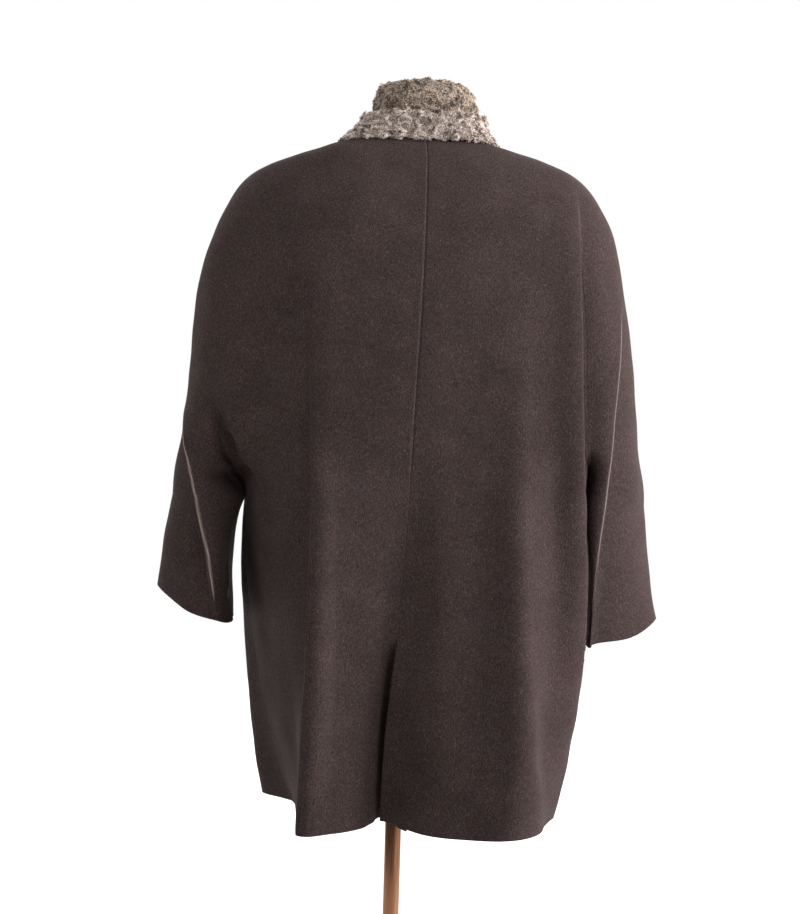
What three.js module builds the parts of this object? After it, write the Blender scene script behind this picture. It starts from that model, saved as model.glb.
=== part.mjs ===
// Oversized coat with cut-on sleeves and a fur collar, standing on a limbless dress form.
// Millimetres, +Z up. The origin is on the floor under the pole. +Y is the wearer's back,
// and +X is the wearer's left.
import * as THREE from 'three';

// Driving dimensions
const CLOTH = 2.5;           // coating wool, interlined
const SEAM_HALF = 0.2;       // each panel stops this far from the seam line
const LAP_DEPTH = 3.2;       // how far an under layer sits below the outer one
const HEM_LEVEL = 505;
const THIGH_LEVEL = 740;
const UNDERARM_LEVEL = 925;
const OPEN_LEVEL = 1012;     // above this the body and the sleeves are one oval
const VENT_TOP = 755;
const COLS_PER_FOLD = 2;     // cloth columns between two fold lines
const BODY_ROWS = 14;
const SLEEVE_ROWS = 7;
const HANG_SHIFT = -8;       // the coat hangs this far off the pole's line
const UNDERARM_ANGLE = 40;   // degrees from the overarm line, where the underarm's meridian climbs

// One row for each fold line down the body, from the centre back round by the wearer's left.
// Each gives its place in plan at the underarm, thigh and hem, and how far the hem lifts there.
const BODY_FOLDS = [
  // name, underarm x y, thigh x y, hem x y, hem lift
  { name: 'centre_back', underarm: [0, 166], thigh: [10, 150], hem: [22, 112], lift: 7 },
  { name: 'left_hollow', underarm: [44, 170], thigh: [50, 164], hem: [50, 138], lift: 1 },
  { name: 'left_swell', underarm: [88, 173], thigh: [88, 172], hem: [86, 164], lift: -2 },
  { name: 'left_crest', underarm: [128, 166], thigh: [121, 176], hem: [128, 170], lift: -3 },
  { name: 'left_side_plane', underarm: [194, 94], thigh: [160, 96], hem: [136, 70], lift: -2 },
  { name: 'left_seam', underarm: [220, 5], thigh: [208, -25], hem: [150, -42], lift: 0 },
  { name: 'left_hip', underarm: [216, -62], thigh: [220, -84], hem: [193, -118], lift: 1 },
  { name: 'left_front', underarm: [160, -124], thigh: [172, -152], hem: [164, -172], lift: 0 },
  { name: 'left_facing', underarm: [82, -146], thigh: [88, -176], hem: [92, -190], lift: 0 },
  { name: 'centre_front', underarm: [0, -152], thigh: [2, -182], hem: [4, -196], lift: 0 },
  { name: 'right_facing', underarm: [-80, -146], thigh: [-84, -178], hem: [-78, -196], lift: 0 },
  { name: 'right_front', underarm: [-156, -122], thigh: [-168, -150], hem: [-150, -168], lift: 0 },
  { name: 'right_hip', underarm: [-213, -64], thigh: [-222, -88], hem: [-206, -104], lift: 2 },
  { name: 'right_seam', underarm: [-222, 5], thigh: [-230, -14], hem: [-209, -26], lift: 3 },
  { name: 'right_crest', underarm: [-228, 90], thigh: [-238, 78], hem: [-201, 62], lift: 6 },
  { name: 'right_trough', underarm: [-182, 142], thigh: [-190, 146], hem: [-178, 142], lift: 6 },
  { name: 'right_ridge', underarm: [-140, 172], thigh: [-148, 180], hem: [-142, 194], lift: 2 },
  { name: 'right_swell', underarm: [-90, 168], thigh: [-92, 174], hem: [-84, 184], lift: -1 },
  { name: 'right_hollow', underarm: [-44, 168], thigh: [-38, 172], hem: [-30, 164], lift: 0 },
];
const LEFT_SEAM = 5;
const CENTRE_FRONT = 9;
const RIGHT_SEAM = 13;

// One row for each level of the joined body and sleeves, from the underarm up to the neck.
// The oval's side, back and front points climb at their own rates up to the sloping neck.
const YOKE_LEVELS = [
  // side z, half widths left and right, back z and y, front z and y, sideways sway of the back
  [925, 320, 317, 925, 168, 925, 152, 0],
  [962, 314, 311, 962, 168, 962, 151, -1],
  [1000, 309, 305, 1002, 168, 1000, 150, -2],
  [1080, 300, 297, 1084, 166, 1075, 148, -5],
  [1150, 296, 290, 1158, 160, 1142, 143, -8],
  [1215, 289, 279, 1228, 150, 1202, 136, -10],
  [1275, 273, 268, 1290, 134, 1254, 127, -11],
  [1318, 254, 249, 1336, 114, 1292, 117, -11],
  [1348, 234, 226, 1366, 98, 1316, 109, -11],
  [1367, 209, 197, 1385, 86, 1332, 102, -10],
  [1380, 172, 161, 1399, 75, 1343, 96, -8],
  [1388, 133, 124, 1409, 67, 1352, 91, -5],
  [1396, 88, 88, 1417, 60, 1360, 87, 0],
].map(([side, left, right, backZ, back, frontZ, front, sway]) => (
  { side, left, right, backZ, back, frontZ, front, sway }
));
const NECK_LEVEL = YOKE_LEVELS.length - 1;
const OVAL_POWER = 0.8;      // below 1 the oval is squarer than an ellipse
const CLIMB_POWER = 1.8;     // how late a level leaves its side height for its back height

// Four soft valleys between body and sleeves, which fade out above the armpits
const ARMPIT_VALLEYS = [
  { name: 'left_back', angle: 51, reach: 13, depth: 36 },
  { name: 'left_front', angle: -48, reach: 13, depth: 30 },
  { name: 'right_front', angle: -133, reach: 13, depth: 30 },
  { name: 'right_back', angle: -218, reach: 10, depth: 20 },
];
const VALLEY_FADE = [1000, 1190];

// One row for each fold line down a sleeve, from the underarm seam round by the back.
const LEFT_SLEEVE = [
  { name: 'underarm_seam', top: [220, 5, 925], elbow: [236, 0, 866], cuff: [232, -5, 760] },
  { name: 'back_inner', top: [228, 54, 925], elbow: [237, 52, 867], cuff: [231, 46, 758] },
  { name: 'back_crease', top: [277, 90, 925], elbow: [264, 90, 868], cuff: [246, 82, 762] },
  { name: 'back_outer', top: [307, 52, 925], elbow: [309, 58, 868], cuff: [291, 68, 774] },
  { name: 'overarm', top: [320, -5, 925], elbow: [328, 0, 868], cuff: [335, 3, 801] },
  { name: 'front_outer', top: [304, -66, 925], elbow: [308, -62, 868], cuff: [316, -60, 792] },
  { name: 'front_crease', top: [268, -96, 925], elbow: [267, -92, 868], cuff: [268, -86, 772] },
  { name: 'front_inner', top: [236, -54, 925], elbow: [242, -52, 866], cuff: [238, -50, 761] },
];
const RIGHT_SLEEVE = [
  { name: 'underarm_seam', top: [-222, 5, 925], elbow: [-243, -5, 850], cuff: [-246, -15, 741] },
  { name: 'back_inner', top: [-236, 60, 925], elbow: [-246, 52, 850], cuff: [-247, 40, 741] },
  { name: 'back_crease', top: [-262, 86, 925], elbow: [-257, 80, 850], cuff: [-252, 70, 747] },
  { name: 'back_outer', top: [-300, 56, 925], elbow: [-303, 56, 850], cuff: [-300, 60, 755] },
  { name: 'overarm', top: [-317, -5, 925], elbow: [-325, 0, 850], cuff: [-338, 3, 776] },
  { name: 'front_outer', top: [-300, -66, 925], elbow: [-306, -61, 850], cuff: [-320, -60, 768] },
  { name: 'front_crease', top: [-266, -96, 925], elbow: [-268, -91, 850], cuff: [-270, -86, 750] },
  { name: 'front_inner', top: [-236, -54, 925], elbow: [-246, -51, 850], cuff: [-248, -50, 742] },
];
const OVERARM = 4;

// One row for each drape fold in the upper coat: where it starts and ends as seen from behind
// or in front (x, z), its reach to each side, and its height, below zero for a hollow.
const DRAPE_FOLDS = [
  { name: 'right_blade_ridge', face: 1, from: [-222, 1290], to: [-230, 800], reach: 16, height: 7 },
  { name: 'right_blade_hollow', face: 1, from: [-246, 1240], to: [-243, 900], reach: 20, height: -6 },
  { name: 'left_droop', face: 1, from: [300, 1085], to: [236, 1020], reach: 22, height: 8 },
  { name: 'left_droop_shadow', face: 1, from: [270, 968], to: [226, 962], reach: 16, height: -8 },
  { name: 'left_side_hollow', face: 1, from: [160, 1190], to: [158, 560], reach: 26, height: -8 },
  { name: 'left_front_swell', face: -1, from: [120, 1080], to: [128, 520], reach: 34, height: 8 },
  { name: 'right_front_swell', face: -1, from: [-118, 1040], to: [-122, 520], reach: 34, height: 9 },
];
const FACING_GAIN = 2.5;     // how soon a fold stops where the cloth turns away from its face

// The left back drops behind the right back along the vent, most of all halfway down it.
const VENT_DEPTHS = [
  { level: VENT_TOP, depth: 0 },
  { level: 700, depth: 6 },
  { level: 600, depth: 13 },
  { level: HEM_LEVEL, depth: 5 },
];

const vec = (x, y, z) => new THREE.Vector3(x, y, z);
const smooth = (t) => {
  const u = Math.min(Math.max(t, 0), 1);
  return u * u * (3 - 2 * u);
};
const mix = (a, b, t) => a + (b - a) * t;

// A cubic through four neighbouring values, at t between the second and the third.
function cubic(a, b, c, d, t) {
  const slope0 = (c - a) / 2;
  const slope1 = (d - b) / 2;
  const t2 = t * t;
  const t3 = t2 * t;
  return (2 * t3 - 3 * t2 + 1) * b + (t3 - 2 * t2 + t) * slope0
    + (3 * t2 - 2 * t3) * c + (t3 - t2) * slope1;
}

// The closed curve through a list of points, at a place counted in points.
function onRing(points, place) {
  const n = points.length;
  const i = Math.floor(place);
  const t = place - i;
  const [a, b, c, d] = [i - 1, i, i + 1, i + 2].map((k) => points[((k % n) + n) % n]);
  return vec(cubic(a.x, b.x, c.x, d.x, t), cubic(a.y, b.y, c.y, d.y, t), cubic(a.z, b.z, c.z, d.z, t));
}

// The value of a parabola through three places and values.
function parabola(places, values, p) {
  const [p0, p1, p2] = places;
  const [v0, v1, v2] = values;
  return v0 * (p - p1) * (p - p2) / ((p0 - p1) * (p0 - p2))
    + v1 * (p - p0) * (p - p2) / ((p1 - p0) * (p1 - p2))
    + v2 * (p - p0) * (p - p1) / ((p2 - p0) * (p2 - p1));
}

// The body below the underarm: place counts fold lines, and drop runs 0 to 1 down to the hem.
function bodyPoint(place, drop) {
  const level = mix(UNDERARM_LEVEL, HEM_LEVEL, drop);
  const places = [UNDERARM_LEVEL, THIGH_LEVEL, HEM_LEVEL];
  const ring = BODY_FOLDS.map((f) => vec(
    parabola(places, [f.underarm[0], f.thigh[0], f.hem[0]], level),
    parabola(places, [f.underarm[1], f.thigh[1], f.hem[1]], level),
    level + f.lift * drop * drop,
  ));
  return onRing(ring, place);
}

// A sleeve below the underarm: place counts its fold lines, and drop runs 0 to 1 to the cuff.
function sleevePoint(table, place, drop) {
  const elbowDrop = 0.4;
  const places = [0, elbowDrop, 1];
  const ring = table.map((f) => vec(
    ...[0, 1, 2].map((k) => parabola(places, [f.top[k], f.elbow[k], f.cuff[k]], drop)),
  ));
  return onRing(ring, place);
}

// One named value of the yoke levels at a place between two of them.
function yokeValue(key, place) {
  const last = NECK_LEVEL;
  const i = Math.min(Math.floor(place), last - 1);
  const at = (k) => YOKE_LEVELS[Math.min(Math.max(k, 0), last)][key];
  return cubic(at(i - 1), at(i), at(i + 1), at(i + 2), place - i);
}

// How deep the valleys beside the armpits lie at an angle and a height.
function valleyDepth(angle, z) {
  const degrees = THREE.MathUtils.radToDeg(angle);
  const fade = 1 - smooth((z - VALLEY_FADE[0]) / (VALLEY_FADE[1] - VALLEY_FADE[0]));
  const depths = ARMPIT_VALLEYS.map((valley) => {
    const turn = THREE.MathUtils.euclideanModulo(degrees - valley.angle + 180, 360) - 180;
    return valley.depth * Math.exp(-((turn / valley.reach) ** 2));
  });
  return fade * depths.reduce((a, b) => a + b, 0);
}

// The oval of one yoke level, at an angle from the wearer's left round by the back.
function ovalPoint(angle, place) {
  const c = Math.cos(angle);
  const s = Math.sin(angle);
  const across = Math.sign(c) * Math.abs(c) ** OVAL_POWER;
  const deep = Math.sign(s) * Math.abs(s) ** OVAL_POWER;
  const half = yokeValue(c > 0 ? 'left' : 'right', place);
  const depth = yokeValue(s > 0 ? 'back' : 'front', place);
  const side = yokeValue('side', place);
  const end = yokeValue(s > 0 ? 'backZ' : 'frontZ', place);
  const z = mix(side, end, Math.abs(s) ** CLIMB_POWER);
  return vec(
    across * half + yokeValue('sway', place) * Math.max(s, 0),
    deep * depth - Math.sign(s) * valleyDepth(angle, z),
    z,
  );
}

// The yoke: starts from a point of the pinched underarm ring and opens into the oval.
function yokePoint(start, angle, place) {
  const oval = ovalPoint(angle, place);
  const open = smooth((oval.z - UNDERARM_LEVEL) / (OPEN_LEVEL - UNDERARM_LEVEL));
  return vec(mix(start.x, oval.x, open), mix(start.y, oval.y, open), oval.z);
}

// How far the drape folds lift a point that faces the given way.
function drapeLift(point, normal) {
  let lift = 0;
  for (const fold of DRAPE_FOLDS) {
    const facing = smooth(normal.y * fold.face * FACING_GAIN);
    const a = new THREE.Vector2(...fold.from);
    const b = new THREE.Vector2(...fold.to);
    const along = b.clone().sub(a);
    const here = new THREE.Vector2(point.x, point.z).sub(a);
    const t = here.dot(along) / along.lengthSq();
    const inside = Math.min(Math.max(t, 0), 1);
    const away = here.distanceTo(along.clone().multiplyScalar(inside));
    lift += facing * fold.height * Math.exp(-((away / fold.reach) ** 2));
  }
  return lift;
}

// The whole coat's outer surface, as one net of shared points and quads. Each quad is listed
// with its panel, as lower-left, upper-left, upper-right, lower-right seen from outside.
const points = [];
const byName = new Map();
const quads = [];

function put(name, point) {
  if (!byName.has(name)) {
    byName.set(name, points.length);
    points.push(point);
  }
  return byName.get(name);
}
function addQuad(panel, ...corners) {
  quads.push({ panel, corners });
}

const bodyCols = BODY_FOLDS.length * COLS_PER_FOLD;
const leftSeamCol = LEFT_SEAM * COLS_PER_FOLD;
const frontCol = CENTRE_FRONT * COLS_PER_FOLD;
const rightSeamCol = RIGHT_SEAM * COLS_PER_FOLD;
const sleeveCols = LEFT_SLEEVE.length * COLS_PER_FOLD;
const overarmCol = OVERARM * COLS_PER_FOLD;

function bodyPanel(col) {
  if (col < leftSeamCol) return 'back_left';
  if (col < frontCol) return 'front_left';
  return col < rightSeamCol ? 'front_right' : 'back_right';
}

// Body below the underarm
const bodyId = (col, row) => {
  const c = col % bodyCols;
  return put(`body ${c} ${row}`, bodyPoint(c / COLS_PER_FOLD, row / BODY_ROWS));
};
for (let col = 0; col < bodyCols; col += 1) {
  for (let row = 0; row < BODY_ROWS; row += 1) {
    addQuad(
      bodyPanel(col),
      bodyId(col, row + 1),
      bodyId(col, row),
      bodyId(col + 1, row),
      bodyId(col + 1, row + 1),
    );
  }
}

// Sleeves below the underarm. The left runs from the underarm seam by the back, and the right
// by the front, so that both turn the same way as the body.
const sleeveId = (side, col, row) => {
  const c = col % sleeveCols;
  if (c === 0 && row === 0) return bodyId(side === 'left' ? leftSeamCol : rightSeamCol, 0);
  const place = side === 'left' ? c : sleeveCols - c;
  const table = side === 'left' ? LEFT_SLEEVE : RIGHT_SLEEVE;
  return put(`${side} sleeve ${c} ${row}`, sleevePoint(table, place / COLS_PER_FOLD, row / SLEEVE_ROWS));
};
for (const side of ['left', 'right']) {
  for (let col = 0; col < sleeveCols; col += 1) {
    const firstHalf = col < overarmCol;
    const panel = `${firstHalf === (side === 'left') ? 'back' : 'front'}_${side}`;
    for (let row = 0; row < SLEEVE_ROWS; row += 1) {
      addQuad(
        panel,
        sleeveId(side, col, row + 1),
        sleeveId(side, col, row),
        sleeveId(side, col + 1, row),
        sleeveId(side, col + 1, row + 1),
      );
    }
  }
}

// Yoke above the underarm: its columns follow the body and both sleeves in one round.
function stretchAngles(ids, fromDegrees, toDegrees) {
  const lengths = [0];
  for (let i = 1; i < ids.length; i += 1) {
    lengths.push(lengths[i - 1] + points[ids[i]].distanceTo(points[ids[i - 1]]));
  }
  const total = lengths[lengths.length - 1];
  return lengths.map((l) => THREE.MathUtils.degToRad(mix(fromDegrees, toDegrees, l / total)));
}
const span = (from, to, id) => Array.from({ length: to - from + 1 }, (_, i) => id(from + i));
const under = UNDERARM_ANGLE;
const bodySpan = (from, to) => span(from, to, (c) => bodyId(c, 0));
const sleeveSpan = (side, from, to) => span(from, to, (c) => sleeveId(side, c, 0));
const stretches = [
  { panel: 'back_left', ids: bodySpan(0, leftSeamCol), from: 90, to: under },
  { panel: 'back_left', ids: sleeveSpan('left', 0, overarmCol), from: under, to: 0 },
  { panel: 'front_left', ids: sleeveSpan('left', overarmCol, sleeveCols), from: 0, to: -under },
  { panel: 'front_left', ids: bodySpan(leftSeamCol, frontCol), from: -under, to: -90 },
  { panel: 'front_right', ids: bodySpan(frontCol, rightSeamCol), from: -90, to: under - 180 },
  { panel: 'front_right', ids: sleeveSpan('right', 0, overarmCol), from: under - 180, to: -180 },
  { panel: 'back_right', ids: sleeveSpan('right', overarmCol, sleeveCols), from: -180, to: -180 - under },
  { panel: 'back_right', ids: bodySpan(rightSeamCol, bodyCols), from: -180 - under, to: -270 },
];
const FRONT_STRETCH = 4;     // the stretch that starts at the centre front
const yokeColumns = [];
for (const stretch of stretches) {
  const angles = stretchAngles(stretch.ids, stretch.from, stretch.to);
  stretch.first = yokeColumns.length;
  for (let i = 0; i < stretch.ids.length - 1; i += 1) {
    const [start, end] = [stretch.ids[i], stretch.ids[i + 1]];
    yokeColumns.push({ panel: stretch.panel, start, end, angle: angles[i] });
  }
}
const yokeId = (col, row) => {
  const c = col % yokeColumns.length;
  const column = yokeColumns[c];
  if (row === 0) return column.start;
  return put(`yoke ${c} ${row}`, yokePoint(points[column.start], column.angle, row));
};
yokeColumns.forEach((column, col) => {
  for (let row = 0; row < NECK_LEVEL; row += 1) {
    const lowerRight = row === 0 ? column.end : yokeId(col + 1, row);
    addQuad(column.panel, yokeId(col, row), yokeId(col, row + 1), yokeId(col + 1, row + 1), lowerRight);
  }
});

// The unit normal of each shared point.
function pointNormals() {
  const normals = points.map(() => vec(0, 0, 0));
  for (const { corners } of quads) {
    const [a, b, c, d] = corners.map((i) => points[i]);
    const face = c.clone().sub(a).cross(d.clone().sub(b));
    for (const i of corners) normals[i].add(face);
  }
  return normals.map((n) => n.normalize());
}
let normals = pointNormals();
points.forEach((point, i) => point.addScaledVector(normals[i], drapeLift(point, normals[i])));
normals = pointNormals();

// A closed wall between two sheets of points. Quads name their corners by place in the lists.
function wallGeometry(outer, inner, faces) {
  const count = outer.length;
  const triangles = [];
  const edges = new Map();
  for (const [a, b, c, d] of faces) {
    triangles.push([a, b, c], [a, c, d]);
    triangles.push([a + count, c + count, b + count], [a + count, d + count, c + count]);
    for (const [from, to] of [[a, b], [b, c], [c, d], [d, a]]) {
      const back = `${to} ${from}`;
      if (edges.has(back)) edges.delete(back);
      else edges.set(`${from} ${to}`, [from, to]);
    }
  }
  for (const [from, to] of edges.values()) {
    triangles.push([to, from, from + count], [to, from + count, to + count]);
  }
  const geometry = new THREE.BufferGeometry();
  const position = [...outer, ...inner].flatMap((p) => [p.x, p.y, p.z]);
  geometry.setAttribute('position', new THREE.Float32BufferAttribute(position, 3));
  geometry.setIndex(triangles.flat());
  geometry.computeVertexNormals();
  return geometry;
}

// One panel of the coat: its own quads, its edges drawn back from the seams, and each point
// moved along its normal by the panel's own sink.
function panelGeometry(faces, sinkAt) {
  const used = [...new Set(faces.flat())];
  const local = new Map(used.map((id, i) => [id, i]));
  const edgeCount = new Map();
  const neighbours = new Map(used.map((id) => [id, new Set()]));
  for (const face of faces) {
    face.forEach((id, i) => {
      const next = face[(i + 1) % 4];
      const key = id < next ? `${id} ${next}` : `${next} ${id}`;
      edgeCount.set(key, (edgeCount.get(key) ?? 0) + 1);
      face.forEach((other) => neighbours.get(id).add(other));
    });
  }
  const rims = new Map();
  for (const [key, uses] of edgeCount) {
    if (uses > 1) continue;
    const [a, b] = key.split(' ').map(Number);
    for (const [id, other] of [[a, b], [b, a]]) {
      rims.set(id, [...(rims.get(id) ?? []), other]);
    }
  }
  const outer = used.map((id) => {
    const place = points[id].clone().addScaledVector(normals[id], -sinkAt(id));
    if (rims.has(id)) {
      const middle = vec(0, 0, 0);
      for (const other of neighbours.get(id)) middle.add(points[other]);
      const inward = middle.divideScalar(neighbours.get(id).size).sub(points[id]);
      const [p, q] = rims.get(id);
      const along = points[p].clone().sub(points[q]).normalize();
      for (const axis of [along, normals[id]]) inward.addScaledVector(axis, -inward.dot(axis));
      place.addScaledVector(inward.normalize(), SEAM_HALF);
    }
    return place;
  });
  const inner = used.map((id, i) => outer[i].clone().addScaledVector(normals[id], -CLOTH));
  return wallGeometry(outer, inner, faces.map((face) => face.map((id) => local.get(id))));
}

// Laps: the wearer's left front runs on under the right front, and the left back runs on
// under the right back below the top of the vent.
const ventRow = Math.ceil(BODY_ROWS * (UNDERARM_LEVEL - VENT_TOP) / (UNDERARM_LEVEL - HEM_LEVEL));
const ownFaces = (panel) => quads.filter((q) => q.panel === panel).map((q) => q.corners);
const idsOf = (cols, rows) => new Set(cols.flatMap((c) => rows.map((r) => bodyId(c, r))));
const rowsFrom = (first) => Array.from({ length: BODY_ROWS + 1 - first }, (_, i) => first + i);

function ventDepth(level) {
  const at = VENT_DEPTHS.findIndex((row) => row.level <= level);
  if (at <= 0) return at === 0 ? VENT_DEPTHS[0].depth : VENT_DEPTHS[VENT_DEPTHS.length - 1].depth;
  const [above, below] = [VENT_DEPTHS[at - 1], VENT_DEPTHS[at]];
  return mix(below.depth, above.depth, (level - below.level) / (above.level - below.level));
}
const ventUnder = idsOf([bodyCols - 1], rowsFrom(ventRow));
const ventEdge = idsOf([0], rowsFrom(ventRow));
const ventNear = idsOf([1], rowsFrom(ventRow));
const ventFaces = quads.filter((q) => q.panel === 'back_right' && q.corners.every((id) => (
  ventUnder.has(id) || ventEdge.has(id)
)));
const BESIDE_VENT = 0.6;     // share of the vent's depth one column to either side
function leftBackSink(id) {
  const depth = ventDepth(points[id].z);
  if (ventUnder.has(id)) return LAP_DEPTH + BESIDE_VENT * depth;
  if (ventEdge.has(id)) return LAP_DEPTH + depth;
  return ventNear.has(id) ? BESIDE_VENT * depth : 0;
}

const frontYokeCol = stretches[FRONT_STRETCH].first;
const lapIds = (offset) => {
  const ids = new Set(rowsFrom(0).map((row) => bodyId(frontCol + offset, row)));
  for (let row = 0; row <= NECK_LEVEL; row += 1) ids.add(yokeId(frontYokeCol + offset, row));
  return ids;
};
const [lapLeft, lapMiddle, lapRight] = [lapIds(-1), lapIds(0), lapIds(1)];
const inLap = (near, far) => (q) => q.corners.every((id) => near.has(id) || far.has(id));
const overFaces = quads.filter((q) => q.panel === 'front_left' && inLap(lapLeft, lapMiddle)(q));
const underFaces = quads.filter((q) => q.panel === 'front_right' && inLap(lapMiddle, lapRight)(q));
const underFront = new Set([...lapLeft, ...lapMiddle, ...lapRight]);
const leftFrontSink = (id) => (underFront.has(id) ? LAP_DEPTH : 0);

// Materials
function finish(color, roughness, metalness = 0) {
  return new THREE.MeshStandardMaterial({ color, roughness, metalness });
}
const WOOL = finish(0x3c3130, 0.95);
const FUR_DARK = finish(0x6f655a, 1);
const FUR_PALE = finish(0x8d8178, 1);
const HORN = finish(0x2b2320, 0.35);
const FORM_CLOTH = finish(0xb9ab96, 0.9);
const BRONZE = finish(0x8a6248, 0.35, 0.8);
const BASE_PAINT = finish(0x2e2a28, 0.5, 0.3);

const dressed = new THREE.Group();
dressed.name = 'dressed_form';
const coat = new THREE.Group();
coat.name = 'oversized_coat';
coat.position.x = HANG_SHIFT;
dressed.add(coat);
function add(group, name, geometry, material) {
  const mesh = new THREE.Mesh(geometry, material);
  mesh.name = name;
  group.add(mesh);
  return mesh;
}

// Cloth panels
const none = () => 0;
const PANELS = [
  { name: 'back_left', lap: ventFaces, sinkAt: leftBackSink },
  { name: 'back_right', lap: [], sinkAt: none },
  { name: 'front_left', lap: underFaces, sinkAt: leftFrontSink },
  { name: 'front_right', lap: overFaces, sinkAt: none },
];
for (const panel of PANELS) {
  const faces = [...ownFaces(panel.name), ...panel.lap.map((q) => q.corners)];
  add(coat, panel.name, panelGeometry(faces, panel.sinkAt), WOOL);
}

// Fur collar, in two tiers that meet edge to edge at the centre front
const COLLAR_COLS = 36;
const COLLAR_GAP = 2.2;      // degrees left open each side of the centre front
const FUR = 10;              // skin, interlining and pile
const NECK_CLEAR = 0.8;
const COLLAR_SWAY = -3;      // the stand's top leans to the wearer's right
const STAND_ROWS = [
  // share of the way up, half width, back, front
  { up: 0, half: 88, back: 63, front: 89 },
  { up: 0.25, half: 76, back: 59, front: 80 },
  { up: 0.5, half: 69, back: 56, front: 72 },
  { up: 0.625, half: 74, back: 59, front: 73 },
  { up: 0.75, half: 72, back: 57, front: 69 },
  { up: 0.875, half: 66, back: 53, front: 64 },
  { up: 1, half: 57, back: 47, front: 57 },
];
const STAND_BANDS = 8;
const STAND_TOP = { side: 1484, back: 1487, front: 1462 };
const FALL_BANDS = 5;
const FALL_TOP = { side: 1441, back: 1440, front: 1404 };
const FALL_REACH = { side: 11.72, back: 10.3, front: 10.6 };   // yoke levels, at the lower edge
const FALL_CLEAR = 2;        // over the cloth, at the lower edge
const FALL_SWELL = -4;       // the fall's face is a little hollow between its edges
const FALL_RISE = [-1, 3];   // the outer face's lower and upper edges, against the inner face's
const INNER_SWELL = 0.3;     // share of the swell that the inner face takes
const TIER_CLEAR = 2.5;      // between the two tiers, where the fall springs from the stand

function bySide(values, s) {
  const end = s > 0 ? values.back : values.front;
  return mix(values.side, end, Math.abs(s) ** CLIMB_POWER);
}
const collarAngle = (col) => THREE.MathUtils.degToRad(
  mix(-90 + COLLAR_GAP, 270 - COLLAR_GAP, 1 - col / COLLAR_COLS),
);
function plan(angle, half, back, front, z, power = OVAL_POWER) {
  const c = Math.cos(angle);
  const s = Math.sin(angle);
  const depth = s > 0 ? back : front;
  return vec(
    Math.sign(c) * half * Math.abs(c) ** power,
    Math.sign(s) * depth * Math.abs(s) ** power,
    z,
  );
}
const collarBase = (angle) => ovalPoint(angle, NECK_LEVEL).z + NECK_CLEAR;
function standPoint(angle, up, inset) {
  const above = Math.max(STAND_ROWS.findIndex((row) => row.up >= up), 1);
  const [low, high] = [STAND_ROWS[above - 1], STAND_ROWS[above]];
  const t = (up - low.up) / (high.up - low.up);
  const [half, back, front] = ['half', 'back', 'front'].map((key) => mix(low[key], high[key], t) - inset);
  const top = bySide(STAND_TOP, Math.sin(angle));
  const point = plan(angle, half, back, front, mix(collarBase(angle), top, up));
  point.x += COLLAR_SWAY * up;
  return point;
}
function outward(point, by) {
  const flat = vec(point.x, point.y, 0).normalize();
  return point.clone().addScaledVector(flat, by);
}
function bandGeometry(rows, place) {
  const outer = [];
  const inner = [];
  const faces = [];
  for (let col = 0; col <= COLLAR_COLS; col += 1) {
    for (let row = 0; row <= rows; row += 1) {
      const [o, i] = place(collarAngle(col), row / rows);
      outer.push(o);
      inner.push(i);
    }
  }
  for (let col = 0; col < COLLAR_COLS; col += 1) {
    for (let row = 0; row < rows; row += 1) {
      const low = col * (rows + 1) + row;
      faces.push([low, low + 1, low + rows + 2, low + rows + 1]);
    }
  }
  return wallGeometry(outer, inner, faces);
}
const standPoints = (angle, up) => [standPoint(angle, up, 0), standPoint(angle, up, FUR)];
add(coat, 'collar_stand', bandGeometry(STAND_BANDS, standPoints), FUR_DARK);

function fallPoints(angle, up) {
  const s = Math.sin(angle);
  const low = ovalPoint(angle, bySide(FALL_REACH, s));
  low.z += FALL_CLEAR;
  const base = collarBase(angle);
  const share = (bySide(FALL_TOP, s) - base) / (bySide(STAND_TOP, s) - base);
  const high = outward(standPoint(angle, share, 0), TIER_CLEAR);
  const inner = low.clone().lerp(high, up);
  const swell = FALL_SWELL * Math.sin(Math.PI * up);
  const outer = outward(inner, FUR + swell);
  outer.z += mix(...FALL_RISE, up);
  return [outer, outward(inner, swell * INNER_SWELL)];
}
add(coat, 'collar_fall', bandGeometry(FALL_BANDS, fallPoints), FUR_PALE);

// Buttons down the right front, which laps over the left
const BUTTON_RADIUS = 15;
const BUTTON_THICK = 4.5;
const BUTTON_LEVELS = [1290, 1165, 1040, 915];
const BUTTON_LIFT = 1.6;
const BUTTON_SEGMENTS = 20;
const buttonProfile = [
  // shares of the radius and of the thickness
  [0, 0], [0.7, 0], [1, 0.45], [1, 0.75], [0.86, 1], [0.7, 0.72], [0, 0.72],
].map(([r, h]) => new THREE.Vector2(r * BUTTON_RADIUS, h * BUTTON_THICK));
const frontLine = [...lapMiddle].map((id) => ({ at: points[id], out: normals[id] }))
  .sort((a, b) => a.at.z - b.at.z);
BUTTON_LEVELS.forEach((level, i) => {
  const above = frontLine.findIndex((p) => p.at.z > level);
  const [low, high] = [frontLine[above - 1], frontLine[above]];
  const t = (level - low.at.z) / (high.at.z - low.at.z);
  const at = low.at.clone().lerp(high.at, t);
  const out = low.out.clone().lerp(high.out, t).normalize();
  const turned = new THREE.LatheGeometry(buttonProfile, BUTTON_SEGMENTS);
  const button = add(coat, `button_${i + 1}`, turned, HORN);
  button.position.copy(at).addScaledVector(out, BUTTON_LIFT);
  button.quaternion.setFromUnitVectors(vec(0, 1, 0), out);
});

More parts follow.
